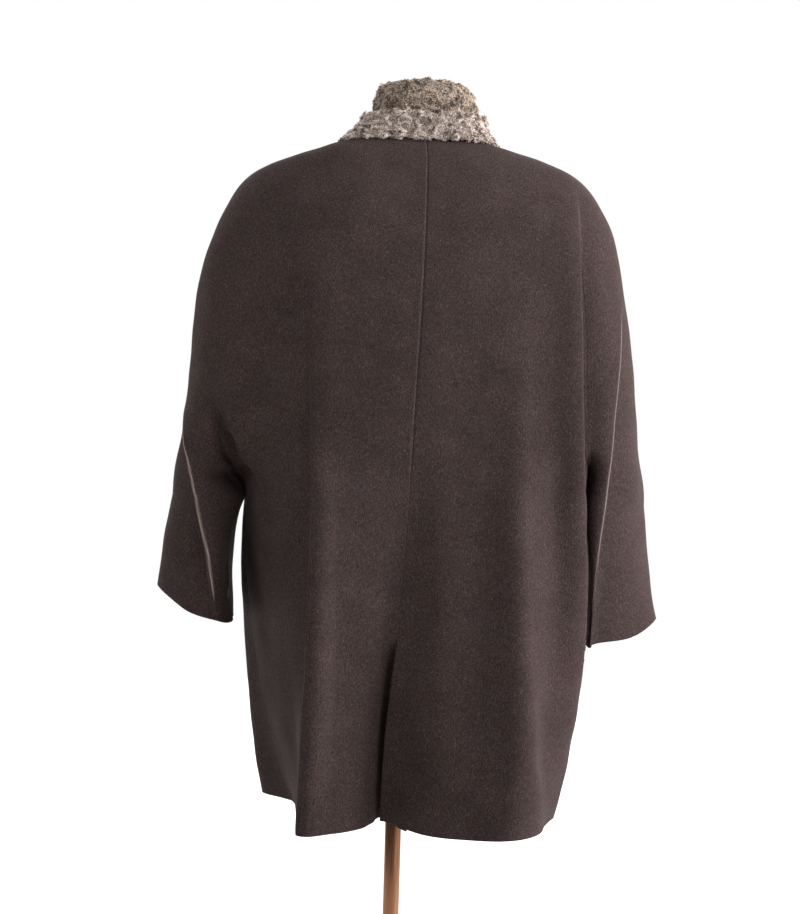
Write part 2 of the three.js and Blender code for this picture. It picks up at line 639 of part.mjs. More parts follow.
// Dress form: one smooth limbless body, a neck cap, a pole and a round base
const FORM_COLS = 32;
const FORM_POWER = 1;         // plain ellipses
const FORM_LEVELS = [
  { name: 'bottom', z: 690, half: 150, back: 108, front: 92 },
  { name: 'bottom_edge', z: 704, half: 164, back: 118, front: 102 },
  { name: 'hip', z: 800, half: 174, back: 122, front: 108 },
  { name: 'high_hip', z: 890, half: 160, back: 106, front: 104 },
  { name: 'waist', z: 985, half: 136, back: 88, front: 96 },
  { name: 'ribs', z: 1085, half: 148, back: 98, front: 108 },
  { name: 'chest', z: 1180, half: 166, back: 110, front: 116 },
  { name: 'blade', z: 1250, half: 176, back: 108, front: 108 },
  { name: 'armhole', z: 1310, half: 182, back: 94, front: 94 },
  { name: 'shoulder_end', z: 1344, half: 174, back: 78, front: 78 },
  { name: 'shoulder', z: 1361, half: 150, back: 66, front: 68 },
  { name: 'shoulder_in', z: 1375, half: 112, back: 56, front: 60 },
  { name: 'neck_base', z: 1385, half: 74, back: 49, front: 56 },
  { name: 'neck_low', z: 1399, half: 56, back: 43, front: 48 },
  { name: 'neck_top', z: 1438, half: 45, back: 36, front: 42 },
];
function formGeometry() {
  const position = [];
  const index = [];
  for (const level of FORM_LEVELS) {
    for (let col = 0; col < FORM_COLS; col += 1) {
      const angle = (2 * Math.PI * col) / FORM_COLS;
      const p = plan(angle, level.half, level.back, level.front, level.z, FORM_POWER);
      position.push(p.x, p.y, p.z);
    }
  }
  const rings = FORM_LEVELS.length;
  const at = (ring, col) => ring * FORM_COLS + (col % FORM_COLS);
  for (let ring = 0; ring < rings - 1; ring += 1) {
    for (let col = 0; col < FORM_COLS; col += 1) {
      index.push(at(ring, col), at(ring, col + 1), at(ring + 1, col + 1));
      index.push(at(ring, col), at(ring + 1, col + 1), at(ring + 1, col));
    }
  }
  const low = position.length / 3;
  position.push(0, 0, FORM_LEVELS[0].z, 0, 0, FORM_LEVELS[rings - 1].z);
  for (let col = 0; col < FORM_COLS; col += 1) {
    index.push(low, at(0, col + 1), at(0, col));
    index.push(low + 1, at(rings - 1, col), at(rings - 1, col + 1));
  }
  const geometry = new THREE.BufferGeometry();
  geometry.setAttribute('position', new THREE.Float32BufferAttribute(position, 3));
  geometry.setIndex(index);
  geometry.computeVertexNormals();
  return geometry;
}
add(dressed, 'form_body', formGeometry(), FORM_CLOTH);

const GAP = 0.3;
const UPRIGHT = new THREE.Quaternion().setFromAxisAngle(vec(1, 0, 0), Math.PI / 2);
const CAP_SEGMENTS = 28;
const BASE_SEGMENTS = 48;
const POLE_SEGMENTS = 24;
function addTurned(name, profile, segments, z, material) {
  const outline = profile.map(([r, h]) => new THREE.Vector2(r, h));
  const mesh = add(dressed, name, new THREE.LatheGeometry(outline, segments), material);
  mesh.quaternion.copy(UPRIGHT);
  mesh.position.z = z;
}
const neckTop = FORM_LEVELS[FORM_LEVELS.length - 1].z;
const capProfile = [[0, 0], [34, 0], [37, 4], [36, 9], [28, 14], [12, 17], [0, 18]];
addTurned('form_neck_cap', capProfile, CAP_SEGMENTS, neckTop + GAP, BRONZE);

const BASE_RADIUS = 165;
const BASE_HEIGHT = 20;
const POLE_RADIUS = 11;
const poleLength = FORM_LEVELS[0].z - BASE_HEIGHT - 2 * GAP;
const baseProfile = [
  [0, 0], [BASE_RADIUS - 3, 0], [BASE_RADIUS, 3], [BASE_RADIUS, 8], [BASE_RADIUS - 6, 12],
  [60, 17], [24, BASE_HEIGHT], [0, BASE_HEIGHT],
];
const poleProfile = [[0, 0], [POLE_RADIUS, 0], [POLE_RADIUS, poleLength], [0, poleLength]];
addTurned('stand_base', baseProfile, BASE_SEGMENTS, 0, BASE_PAINT);
addTurned('stand_pole', poleProfile, POLE_SEGMENTS, BASE_HEIGHT + GAP, BRONZE);

export default dressed;
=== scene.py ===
import math

import bpy
import numpy as np
from mathutils import Matrix, Vector, kdtree


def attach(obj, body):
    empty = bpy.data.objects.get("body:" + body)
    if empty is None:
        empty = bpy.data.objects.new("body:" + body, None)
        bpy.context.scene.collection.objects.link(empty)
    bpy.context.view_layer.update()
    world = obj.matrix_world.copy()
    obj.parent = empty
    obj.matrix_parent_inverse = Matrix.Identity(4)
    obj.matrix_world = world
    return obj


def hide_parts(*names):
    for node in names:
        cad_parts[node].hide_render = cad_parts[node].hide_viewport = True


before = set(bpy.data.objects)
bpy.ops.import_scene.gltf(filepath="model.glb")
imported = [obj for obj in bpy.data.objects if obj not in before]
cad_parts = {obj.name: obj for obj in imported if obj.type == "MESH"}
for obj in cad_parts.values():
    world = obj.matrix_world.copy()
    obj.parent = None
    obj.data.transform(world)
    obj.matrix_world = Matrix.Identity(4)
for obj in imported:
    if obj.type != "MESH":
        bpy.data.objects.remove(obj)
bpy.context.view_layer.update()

# Camera. It stands behind the coat at chest height and is turned a little on its own axis,
# as the photograph is. Sizes are in millimetres, and MM takes them to metres.
MM = 0.001
CAMERA_DISTANCE = 2700
EYE_HEIGHT = 983
AIM_ACROSS = 5.5
VIEW_HEIGHT = 1233.9      # what the picture's long side covers at the pole's distance
CAMERA_ROLL = math.radians(1.7)
SENSOR = 36

camera_data = bpy.data.cameras.new("camera")
camera_data.sensor_width = SENSOR
camera_data.lens = SENSOR * CAMERA_DISTANCE / VIEW_HEIGHT
camera = bpy.data.objects.new("camera", camera_data)
camera.matrix_world = (
    Matrix.Translation(Vector((AIM_ACROSS, CAMERA_DISTANCE, EYE_HEIGHT)) * MM)
    @ Matrix.Rotation(math.pi, 4, "Z")
    @ Matrix.Rotation(math.pi / 2, 4, "X")
    @ Matrix.Rotation(CAMERA_ROLL, 4, "Z")
)
bpy.context.scene.collection.objects.link(camera)
bpy.context.scene.camera = camera


# Wool coating: a heavy melange twill, woven from brown, charcoal and a few pale fibres, milled
# and brushed. It has no gloss, a soft nap that catches light at its edges, and faint vertical
# ribs. Fleck and rib sizes are drawn about twice real size, so that they show. Along the
# sleeves' sharp folds a pale painted highlight is mixed into the colour.
FLECK = 1.4
RIB_ACROSS = 1.4
RIB_ALONG = 3.5
DYED_FIBRE = 3.2
CLOUD = 60
WOOL_DARK = "#292020"
WOOL_MID = "#3d3231"
WOOL_PALE = "#5d504c"
WOOL_PAINTED_HIGHLIGHT = "#b8a49a"


def linear(code):
    """An sRGB hex colour as linear red, green, blue and alpha."""
    parts = [int(code[i:i + 2], 16) / 255 for i in (1, 3, 5)]
    return [p / 12.92 if p <= 0.04045 else ((p + 0.055) / 1.055) ** 2.4 for p in parts] + [1]


def per_metre(size_mm):
    return 1000 / size_mm


def node(material, kind, links=(), **settings):
    """Adds a node. A setting names an input by its name or number, or a property after 'its_'."""
    tree = material.node_tree
    made = tree.nodes.new("ShaderNode" + kind)
    for key, value in settings.items():
        if key.startswith("its_"):
            setattr(made, key[4:], value)
        else:
            name = int(key[1:]) if key[1:].isdigit() else key.replace("_", " ")
            made.inputs[name].default_value = value
    for source, output, target in links:
        tree.links.new(source.outputs[output], made.inputs[target])
    return made


def new_material(name):
    material = bpy.data.materials.new(name)
    material.use_nodes = True
    material.node_tree.nodes.clear()
    return material


def ramp(material, source, output, stops):
    """A colour ramp from (place, hex) stops."""
    made = node(material, "ValToRGB", [(source, output, "Fac")])
    elements = made.color_ramp.elements
    while len(elements) < len(stops):
        elements.new(0.5)
    for element, (place, code) in zip(elements, stops):
        element.position = place
        element.color = linear(code)
    return made


def grain(material, size_mm, along_mm=None, kind="TexNoise", **settings):
    """A texture laid on the piece itself, with grains of a size, and of another size up and down
    where that is given."""
    place = node(material, "TexCoord")
    if along_mm is None:
        return node(material, kind, [(place, "Object", "Vector")], Scale=per_metre(size_mm), **settings)
    sizes = (per_metre(size_mm), per_metre(size_mm), per_metre(along_mm))
    drawn_out = node(material, "Mapping", [(place, "Object", "Vector")], Scale=sizes)
    return node(material, kind, [(drawn_out, "Vector", "Vector")], Scale=1.0, **settings)


def multiplied(material, first, second):
    """Two colours multiplied, each given as a node and its output's name."""
    links = [(*first, "Color1"), (*second, "Color2")]
    return node(material, "MixRGB", links, its_blend_type="MULTIPLY", Fac=1.0)


def surface(material, colour, *links, **settings):
    """The shader and output of a material, from its colour and any other links."""
    shader = node(material, "BsdfPrincipled", [(colour, "Color", "Base Color"), *links], **settings)
    node(material, "OutputMaterial", [(shader, "BSDF", "Surface")])
    return shader


def grained(name, size_mm, stops, along_mm=None, relief=None, gloss=None, texture=None, **settings):
    """A material of one fine grain. Its colour follows the grain, and so do its relief (strength,
    depth) and its roughness (from, to) where they are given."""
    material = new_material(name)
    base = grain(material, size_mm, along_mm, **(texture or {}))
    links = []
    if relief:
        bump = node(material, "Bump", [(base, "Fac", "Height")], Strength=relief[0], Distance=relief[1])
        links.append((bump, "Normal", "Normal"))
    if gloss:
        rough = node(material, "MapRange", [(base, "Fac", "Value")], To_Min=gloss[0], To_Max=gloss[1])
        links.append((rough, "Result", "Roughness"))
    surface(material, ramp(material, base, "Fac", stops), *links, **settings)
    return material


wool = new_material("milled_melange_wool")
flecks = grain(wool, FLECK, Detail=3.0, Roughness=0.75)
ribs = grain(wool, RIB_ACROSS, RIB_ALONG, Detail=2.0)
weave = node(wool, "MixRGB", [(flecks, "Fac", "Color1"), (ribs, "Fac", "Color2")], Fac=0.4)
melange = ramp(wool, weave, "Color", [(0.32, WOOL_DARK), (0.5, WOOL_MID), (0.68, WOOL_PALE)])
dyed = grain(wool, DYED_FIBRE, Detail=2.0)
dye = ramp(wool, dyed, "Fac", [(0.36, "#fff2ea"), (0.5, "#ffffff"), (0.64, "#f1f5ff")])
clouds = grain(wool, CLOUD, Detail=3.0)
cloud_tone = node(
    wool, "MapRange", [(clouds, "Fac", "Value")], From_Min=0.3, From_Max=0.7, To_Min=0.88, To_Max=1.12,
)
fibres = multiplied(wool, (melange, "Color"), (dye, "Color"))
tinted = multiplied(wool, (fibres, "Color"), (cloud_tone, "Result"))
# painted highlight: a paler colour mixed in along the sleeves' sharp folds
highlight_attribute = node(wool, "Attribute", its_attribute_name="painted_crest_highlight")
narrow = node(wool, "Math", [(highlight_attribute, "Fac", 0)], its_operation="POWER", _1=1.7)
highlighted_colour = node(
    wool, "MixRGB", [(narrow, "Value", "Fac"), (tinted, "Color", "Color1")], Color2=linear(WOOL_PAINTED_HIGHLIGHT),
)
nap = node(wool, "Bump", [(weave, "Color", "Height")], Strength=0.5, Distance=0.001)
wool_shader = surface(
    wool, highlighted_colour, (nap, "Normal", "Normal"),
    Roughness=0.95, Sheen_Weight=0.12, Sheen_Roughness=0.3, Specular_IOR_Level=0.1,
)
wool_shader.inputs["Sheen Tint"].default_value = linear("#d8c4bc")


# Coat shell: four panels, each a back or front cut in one with its half of a sleeve, so that
# the only seams are centre back, overarm, side and underarm. The folds that hang from the
# shoulders are rows of these tables, in plan at three heights.
CLOTH = 2.5
SEAM_HALF = 0.03
LAP_DEPTH = 3.2
HEM_LEVEL = 505
THIGH_LEVEL = 740
UNDERARM_LEVEL = 925
OPEN_LEVELS = (1012, 1000)    # left, right
VENT_TOP = 752
MESH_STEP = 4.4
BODY_FOLDS = [
    # name, underarm (x, y), thigh (x, y), hem (x, y), hem lift
    ("centre_back", (0, 166), (10, 150), (22, 112), 7),
    ("left_hollow", (44, 170), (50, 164), (50, 138), 1),
    ("left_swell", (88, 173), (88, 172), (86, 164), -2),
    ("left_crest", (128, 166), (121, 176), (128, 170), -3),
    ("left_side_plane", (194, 94), (160, 96), (136, 70), -2),
    ("left_seam", (220, 5), (208, -25), (150, -42), 0),
    ("left_hip", (216, -62), (220, -84), (193, -118), 1),
    ("left_front", (160, -124), (172, -152), (164, -172), 0),
    ("left_facing", (82, -146), (88, -176), (92, -190), 0),
    ("centre_front", (0, -152), (2, -182), (4, -196), 0),
    ("right_facing", (-80, -146), (-84, -178), (-78, -196), 0),
    ("right_front", (-156, -122), (-168, -150), (-150, -168), 0),
    ("right_hip", (-213, -64), (-222, -88), (-206, -104), 2),
    ("right_seam", (-222, 5), (-230, -14), (-209, -26), 3),
    ("right_crest", (-228, 107), (-235, 93), (-201, 64), 6),
    ("right_trough", (-182, 142), (-190, 146), (-178, 142), 6),
    ("right_ridge", (-140, 172), (-148, 180), (-142, 194), 2),
    ("right_swell", (-90, 168), (-92, 174), (-84, 184), -1),
    ("right_hollow", (-44, 168), (-38, 172), (-30, 164), 0),
]
LEFT_SEAM, CENTRE_FRONT, RIGHT_SEAM = 5, 9, 13
YOKE_LEVELS = [
    # side z, left x, right x, back z, back y, front z, front y, sideways sway of the back
    (925, 320, 317, 925, 168, 925, 152, 0),
    (962, 314, 311, 962, 168, 962, 151, -1),
    (1000, 309, 305, 1002, 168, 1000, 150, -2),
    (1080, 300, 297, 1084, 166, 1075, 148, -5),
    (1150, 296, 290, 1158, 160, 1142, 143, -8),
    (1215, 289, 279, 1228, 150, 1202, 136, -10),
    (1275, 273, 268, 1290, 134, 1254, 127, -11),
    (1318, 254, 249, 1336, 114, 1292, 117, -11),
    (1348, 234, 226, 1366, 98, 1316, 109, -11),
    (1367, 209, 197, 1385, 86, 1332, 102, -10),
    (1380, 172, 161, 1399, 75, 1343, 96, -8),
    (1388, 133, 124, 1409, 67, 1352, 91, -5),
    (1396, 88, 88, 1417, 60, 1360, 87, 0),
]
ARMPIT_VALLEYS = [
    # name, angle, reach in degrees, depth
    ("left_back", 51, 13, 36),
    ("left_front", -48, 13, 30),
    ("right_front", -133, 13, 30),
    ("right_back", -225, 10, 2),
]
VALLEY_FADE = (1000, 1190)
HANG_SHIFT = -8           # the coat hangs this far off the pole's line
HEM_TURN = 6              # the lowest rows are closer together, for the hem's and cuffs' edges
NECK_LEVEL = len(YOKE_LEVELS) - 1
OVAL_POWER = 0.8
CLIMB_POWER = 1.8
UNDERARM_ANGLE = 40
RIGHT_BACK_ANGLE = 45
DEPTH_COUNTS = {"back_right": 0.05}     # how much depth counts where columns spread round the yoke
SLEEVES = {
    # name, top (x, y, z), elbow (x, y, z), cuff (x, y, z)
    "left": [
        ("underarm_seam", (220, 5, 925), (236, 0, 866), (232, -5, 760)),
        ("back_inner", (228, 54, 925), (237, 52, 867), (231, 46, 758)),
        ("back_crease", (277, 90, 925), (264, 90, 868), (246, 82, 762)),
        ("back_outer", (307, 52, 925), (309, 58, 868), (291, 68, 774)),
        ("overarm", (320, -5, 925), (328, 0, 868), (335, 3, 801)),
        ("front_outer", (304, -66, 925), (308, -62, 868), (316, -60, 792)),
        ("front_crease", (268, -96, 925), (267, -92, 868), (268, -86, 772)),
        ("front_inner", (236, -54, 925), (242, -52, 866), (238, -50, 761)),
    ],
    "right": [
        ("underarm_seam", (-222, 5, 925), (-243, -5, 850), (-246, -15, 741)),
        ("back_inner", (-231, 104, 925), (-238, 95, 850), (-239.5, 81, 741)),
        ("back_crease", (-262, 106, 925), (-258, 97, 850), (-253, 83, 747)),
        ("back_outer", (-300, 56, 925), (-303, 56, 850), (-300, 60, 755)),
        ("overarm", (-317, -5, 925), (-325, 0, 850), (-338, 3, 776)),
        ("front_outer", (-300, -66, 925), (-306, -61, 850), (-320, -60, 768)),
        ("front_crease", (-266, -96, 925), (-268, -91, 850), (-270, -86, 750)),
        ("front_inner", (-236, -54, 925), (-246, -51, 850), (-248, -50, 742)),
    ],
}
OVERARM = 4
ELBOW_DROP = 0.4          # how far down the sleeve its elbow row lies, as a share


def smooth(t):
    t = np.clip(t, 0, 1)
    return t * t * (3 - 2 * t)


def mix(a, b, t):
    return a + (b - a) * t


def unit(rows, least=1e-9):
    return rows / np.maximum(np.linalg.norm(rows, axis=1, keepdims=True), least)


def cubic(a, b, c, d, t):
    """A cubic through four neighbouring values, at t between the second and the third."""
    slope_b, slope_c = (c - a) / 2, (d - b) / 2
    return (
        (2 * t**3 - 3 * t**2 + 1) * b + (t**3 - 2 * t**2 + t) * slope_b
        + (3 * t**2 - 2 * t**3) * c + (t**3 - t**2) * slope_c
    )


def on_ring(ring, places):
    """Closed curves through rows of points (rows, points, 3), at places counted in points."""
    count = ring.shape[1]
    first = np.floor(places).astype(int)
    a, b, c, d = (ring[:, (first + k) % count] for k in (-1, 0, 1, 2))
    return cubic(a, b, c, d, (places - first)[None, :, None])


def parabola(places, values, p):
    """The parabola through three values at three places, for an array of places p."""
    p0, p1, p2 = places
    v0, v1, v2 = values
    return (
        v0 * (p - p1) * (p - p2) / ((p0 - p1) * (p0 - p2))
        + v1 * (p - p0) * (p - p2) / ((p1 - p0) * (p1 - p2))
        + v2 * (p - p0) * (p - p1) / ((p2 - p0) * (p2 - p1))
    )


def body_points(places, drops):
    levels = mix(UNDERARM_LEVEL, HEM_LEVEL, drops)
    heights = (UNDERARM_LEVEL, THIGH_LEVEL, HEM_LEVEL)
    ring = np.stack([
        np.stack([
            *(parabola(heights, (under[k], thigh[k], hem[k]), levels) for k in (0, 1)),
            levels + lift * drops**2,
        ], axis=1)
        for _, under, thigh, hem, lift in BODY_FOLDS
    ], axis=1)
    return on_ring(ring, places)


def sleeve_points(side, places, drops):
    ring = np.stack([
        np.stack([parabola((0, ELBOW_DROP, 1), (top[k], elbow[k], cuff[k]), drops) for k in range(3)], axis=1)
        for _, top, elbow, cuff in SLEEVES[side]
    ], axis=1)
    return on_ring(ring, places)


def between_rows(table, places):
    """Rows of a table, at places counted in rows."""
    table = np.array(table, float)
    last = len(table) - 1
    first = np.minimum(np.floor(places).astype(int), last - 1)
    a, b, c, d = (table[np.clip(first + k, 0, last)] for k in (-1, 0, 1, 2))
    return cubic(a, b, c, d, (places - first)[:, None])


def valley_depth(angles, z):
    """How deep the valleys beside the armpits lie at angles and heights."""
    total = 0 * z
    for _, centre, reach, depth in ARMPIT_VALLEYS:
        turn = (np.degrees(angles) - centre + 180) % 360 - 180
        total = total + depth * np.exp(-(turn / reach) ** 2)
    return total * (1 - smooth((z - VALLEY_FADE[0]) / (VALLEY_FADE[1] - VALLEY_FADE[0])))


def oval(rows, angles):
    """x, y towards the back or the front, z, and which of the two it is, 1 or -1."""
    side, left, right, back_z, back, front_z, front, sway = rows
    c, s = np.cos(angles), np.sin(angles)
    x = np.sign(c) * np.where(c > 0, left, right) * np.abs(c) ** OVAL_POWER + sway * np.maximum(s, 0)
    z = mix(side + 0 * s, np.where(s > 0, back_z, front_z), np.abs(s) ** CLIMB_POWER)
    return x, np.where(s > 0, back, front) * np.abs(s) ** OVAL_POWER, z, np.sign(s)


def oval_points(angles, places):
    """The yoke's ovals: rows are places between the levels, columns are angles."""
    x, y, z, facing = oval((v[:, None] for v in between_rows(YOKE_LEVELS, places).T), angles[None])
    return np.stack([x, facing * (y - valley_depth(angles[None], z)), z], axis=2)


def yoke_at(angles, places):
    """Yoke points for matching arrays of angles and places."""
    x, y, z, facing = oval(between_rows(YOKE_LEVELS, places).T, angles)
    return np.stack([x, facing * y, z], axis=1)


def steps(stops, size):
    """Places from the first stop to the last, even between stops and about size apart."""
    runs = []
    for (a, length_a), (b, length_b) in zip(stops, stops[1:]):
        count = max(1, round(abs(length_b - length_a) / size))
        runs.append(np.linspace(a, b, count, endpoint=False))
    return np.append(np.concatenate(runs), stops[-1][0])


# Body columns are closer together on both sides of each seam, and where folds are sharp
FINE = (0.0, 0.03, 0.07)
SEAM_PLACES = (0, LEFT_SEAM, CENTRE_FRONT, RIGHT_SEAM)
BODY_CROWDING = {2: 14, 3: 22, 4: 18, 13: 26, 14: 14}
SLEEVE_CROWDING = {0: 14, 1: 34, 2: 32}
columns = []
for start in range(len(BODY_FOLDS)):
    parts = BODY_CROWDING.get(start, 10)
    inner = list(np.arange(1, parts) / parts)
    near_start = [f for f in FINE if f == 0 or start in SEAM_PLACES]
    near_end = [1 - f for f in FINE[:0:-1] if (start + 1) % len(BODY_FOLDS) in SEAM_PLACES]
    columns += sorted(start + f for f in set(near_start + inner + near_end))
body_columns = np.array(columns)
FALL = UNDERARM_LEVEL - HEM_LEVEL
vent_share = (UNDERARM_LEVEL - VENT_TOP) / FALL
body_drops = steps(
    [(0, 0), (vent_share, FALL * vent_share), (1 - HEM_TURN / FALL, FALL - HEM_TURN)], MESH_STEP,
)
body_drops = np.append(body_drops, [1 - 3 / FALL, 1 - 1 / FALL, 1])
vent_row = int(np.argmin(np.abs(body_drops - vent_share)))
body = body_points(body_columns, body_drops)

SLEEVE_FOLDS = 8
by_back = set()
for start in range(SLEEVE_FOLDS):
    parts = SLEEVE_CROWDING.get(start, 10)
    by_back |= {start + k / parts for k in range(parts)}
near_seams = {seam + f * way for seam in (0, OVERARM, SLEEVE_FOLDS) for f in FINE[1:] for way in (-1, 1)}
by_back = np.array(sorted(by_back | {place for place in near_seams if 0 < place < SLEEVE_FOLDS}))
by_front = np.concatenate([[0], SLEEVE_FOLDS - by_back[:0:-1]])
SLEEVE_FALL = 160
sleeve_drops = steps([(0, 0), (1 - HEM_TURN / SLEEVE_FALL, SLEEVE_FALL - HEM_TURN)], MESH_STEP)
sleeve_drops = np.append(sleeve_drops, [0.981, 0.994, 1])
sleeves = {
    "left": sleeve_points("left", by_back, sleeve_drops),
    "right": sleeve_points("right", (SLEEVE_FOLDS - by_front) % SLEEVE_FOLDS, sleeve_drops),
}

# One list of points for the whole coat, and numbers into it by row and column
points = []
count = 0


def store(block):
    global count
    numbers = count + np.arange(block.shape[0] * block.shape[1]).reshape(block.shape[:2])
    points.append(block.reshape(-1, 3))
    count += numbers.size
    return numbers


def column_at(places, value):
    return int(np.argmin(np.abs(places - value)))


body_ids = store(body)
seam_columns = {"left": column_at(body_columns, LEFT_SEAM), "right": column_at(body_columns, RIGHT_SEAM)}
front_column = column_at(body_columns, CENTRE_FRONT)
sleeve_ids = {}
for side, block in sleeves.items():
    sleeve_ids[side] = store(block)
    sleeve_ids[side][0, 0] = body_ids[0, seam_columns[side]]
overarm_columns = {"left": column_at(by_back, OVERARM), "right": column_at(by_front, OVERARM)}
rings = {side: np.append(ids[0], ids[0, 0]) for side, ids in sleeve_ids.items()}
body_ring = np.append(body_ids[0], body_ids[0, 0])
left, right = seam_columns["left"], seam_columns["right"]
stretches = [
    # panel, numbers along the pinched ring, start and end angle
    ("back_left", body_ring[:left + 1], 90, UNDERARM_ANGLE),
    ("back_left", rings["left"][:overarm_columns["left"] + 1], UNDERARM_ANGLE, 0),
    ("front_left", rings["left"][overarm_columns["left"]:], 0, -UNDERARM_ANGLE),
    ("front_left", body_ring[left:front_column + 1], -UNDERARM_ANGLE, -90),
    ("front_right", body_ring[front_column:right + 1], -90, UNDERARM_ANGLE - 180),
    ("front_right", rings["right"][:overarm_columns["right"] + 1], UNDERARM_ANGLE - 180, -180),
    ("back_right", rings["right"][overarm_columns["right"]:], -180, -180 - RIGHT_BACK_ANGLE),
    ("back_right", body_ring[right:], -180 - RIGHT_BACK_ANGLE, -270),
]
flat_points = np.concatenate(points)
yoke_panel, yoke_start, yoke_end, yoke_angle, stretch_first = [], [], [], [], []
for panel, ids, first, last in stretches:
    gaps = np.linalg.norm(np.diff(flat_points[ids], axis=0) * (1, DEPTH_COUNTS.get(panel, 1), 1), axis=1)
    share = np.concatenate([[0], np.cumsum(gaps)]) / gaps.sum()
    stretch_first.append(len(yoke_start))
    yoke_panel += [panel] * (len(ids) - 1)
    yoke_start += list(ids[:-1])
    yoke_end += list(ids[1:])
    yoke_angle += list(np.radians(mix(first, last, share[:-1])))
side_path = np.array(YOKE_LEVELS, float)[:, [0, 1]]
path_length = np.concatenate([[0], np.cumsum(np.linalg.norm(np.diff(side_path, axis=0), axis=1))])
yoke_places = steps(list(enumerate(path_length)), MESH_STEP)[1:]
ovals = oval_points(np.array(yoke_angle), yoke_places)
open_level = np.where(ovals[:, :, 0] > 0, *OPEN_LEVELS)
opened = smooth((ovals[:, :, 2] - UNDERARM_LEVEL) / (open_level - UNDERARM_LEVEL))[:, :, None]
starts = flat_points[yoke_start][None]
yoke = np.concatenate([mix(starts[:, :, :2], ovals[:, :, :2], opened), ovals[:, :, 2:]], axis=2)
yoke_ids = store(yoke)
coat = np.concatenate(points)


quads, panels = [], []


def add_net(rows, names):
    """Quads between neighbouring rows of numbers, from the top row down, and their panels."""
    for high, low in zip(rows, rows[1:]):
        quads.append(np.stack([low[:-1], high[:-1], high[1:], low[1:]], axis=1))
        panels.append(names)


def closed(ids):
    return np.hstack([ids, ids[:, :1]])


add_net(closed(body_ids), np.select(
    [body_columns < LEFT_SEAM, body_columns < CENTRE_FRONT, body_columns < RIGHT_SEAM],
    ["back_left", "front_left", "front_right"], "back_right",
))
for side, ids in sleeve_ids.items():
    first_half = np.arange(ids.shape[1]) < overarm_columns[side]
    add_net(closed(ids), np.where(first_half == (side == "left"), "back_" + side, "front_" + side))
yoke_closed = closed(yoke_ids)
add_net(yoke_closed[::-1], np.array(yoke_panel))
quads.append(np.stack([yoke_start, yoke_closed[0, :-1], yoke_closed[0, 1:], yoke_end], axis=1))
panels.append(np.array(yoke_panel))
quads, panels = np.concatenate(quads), np.concatenate(panels)


def point_normals(where):
    a, b, c, d = (where[quads[:, k]] for k in range(4))
    face = np.cross(c - a, d - b)
    total = np.zeros_like(where)
    for k in range(4):
        np.add.at(total, quads[:, k], face)
    return unit(total)


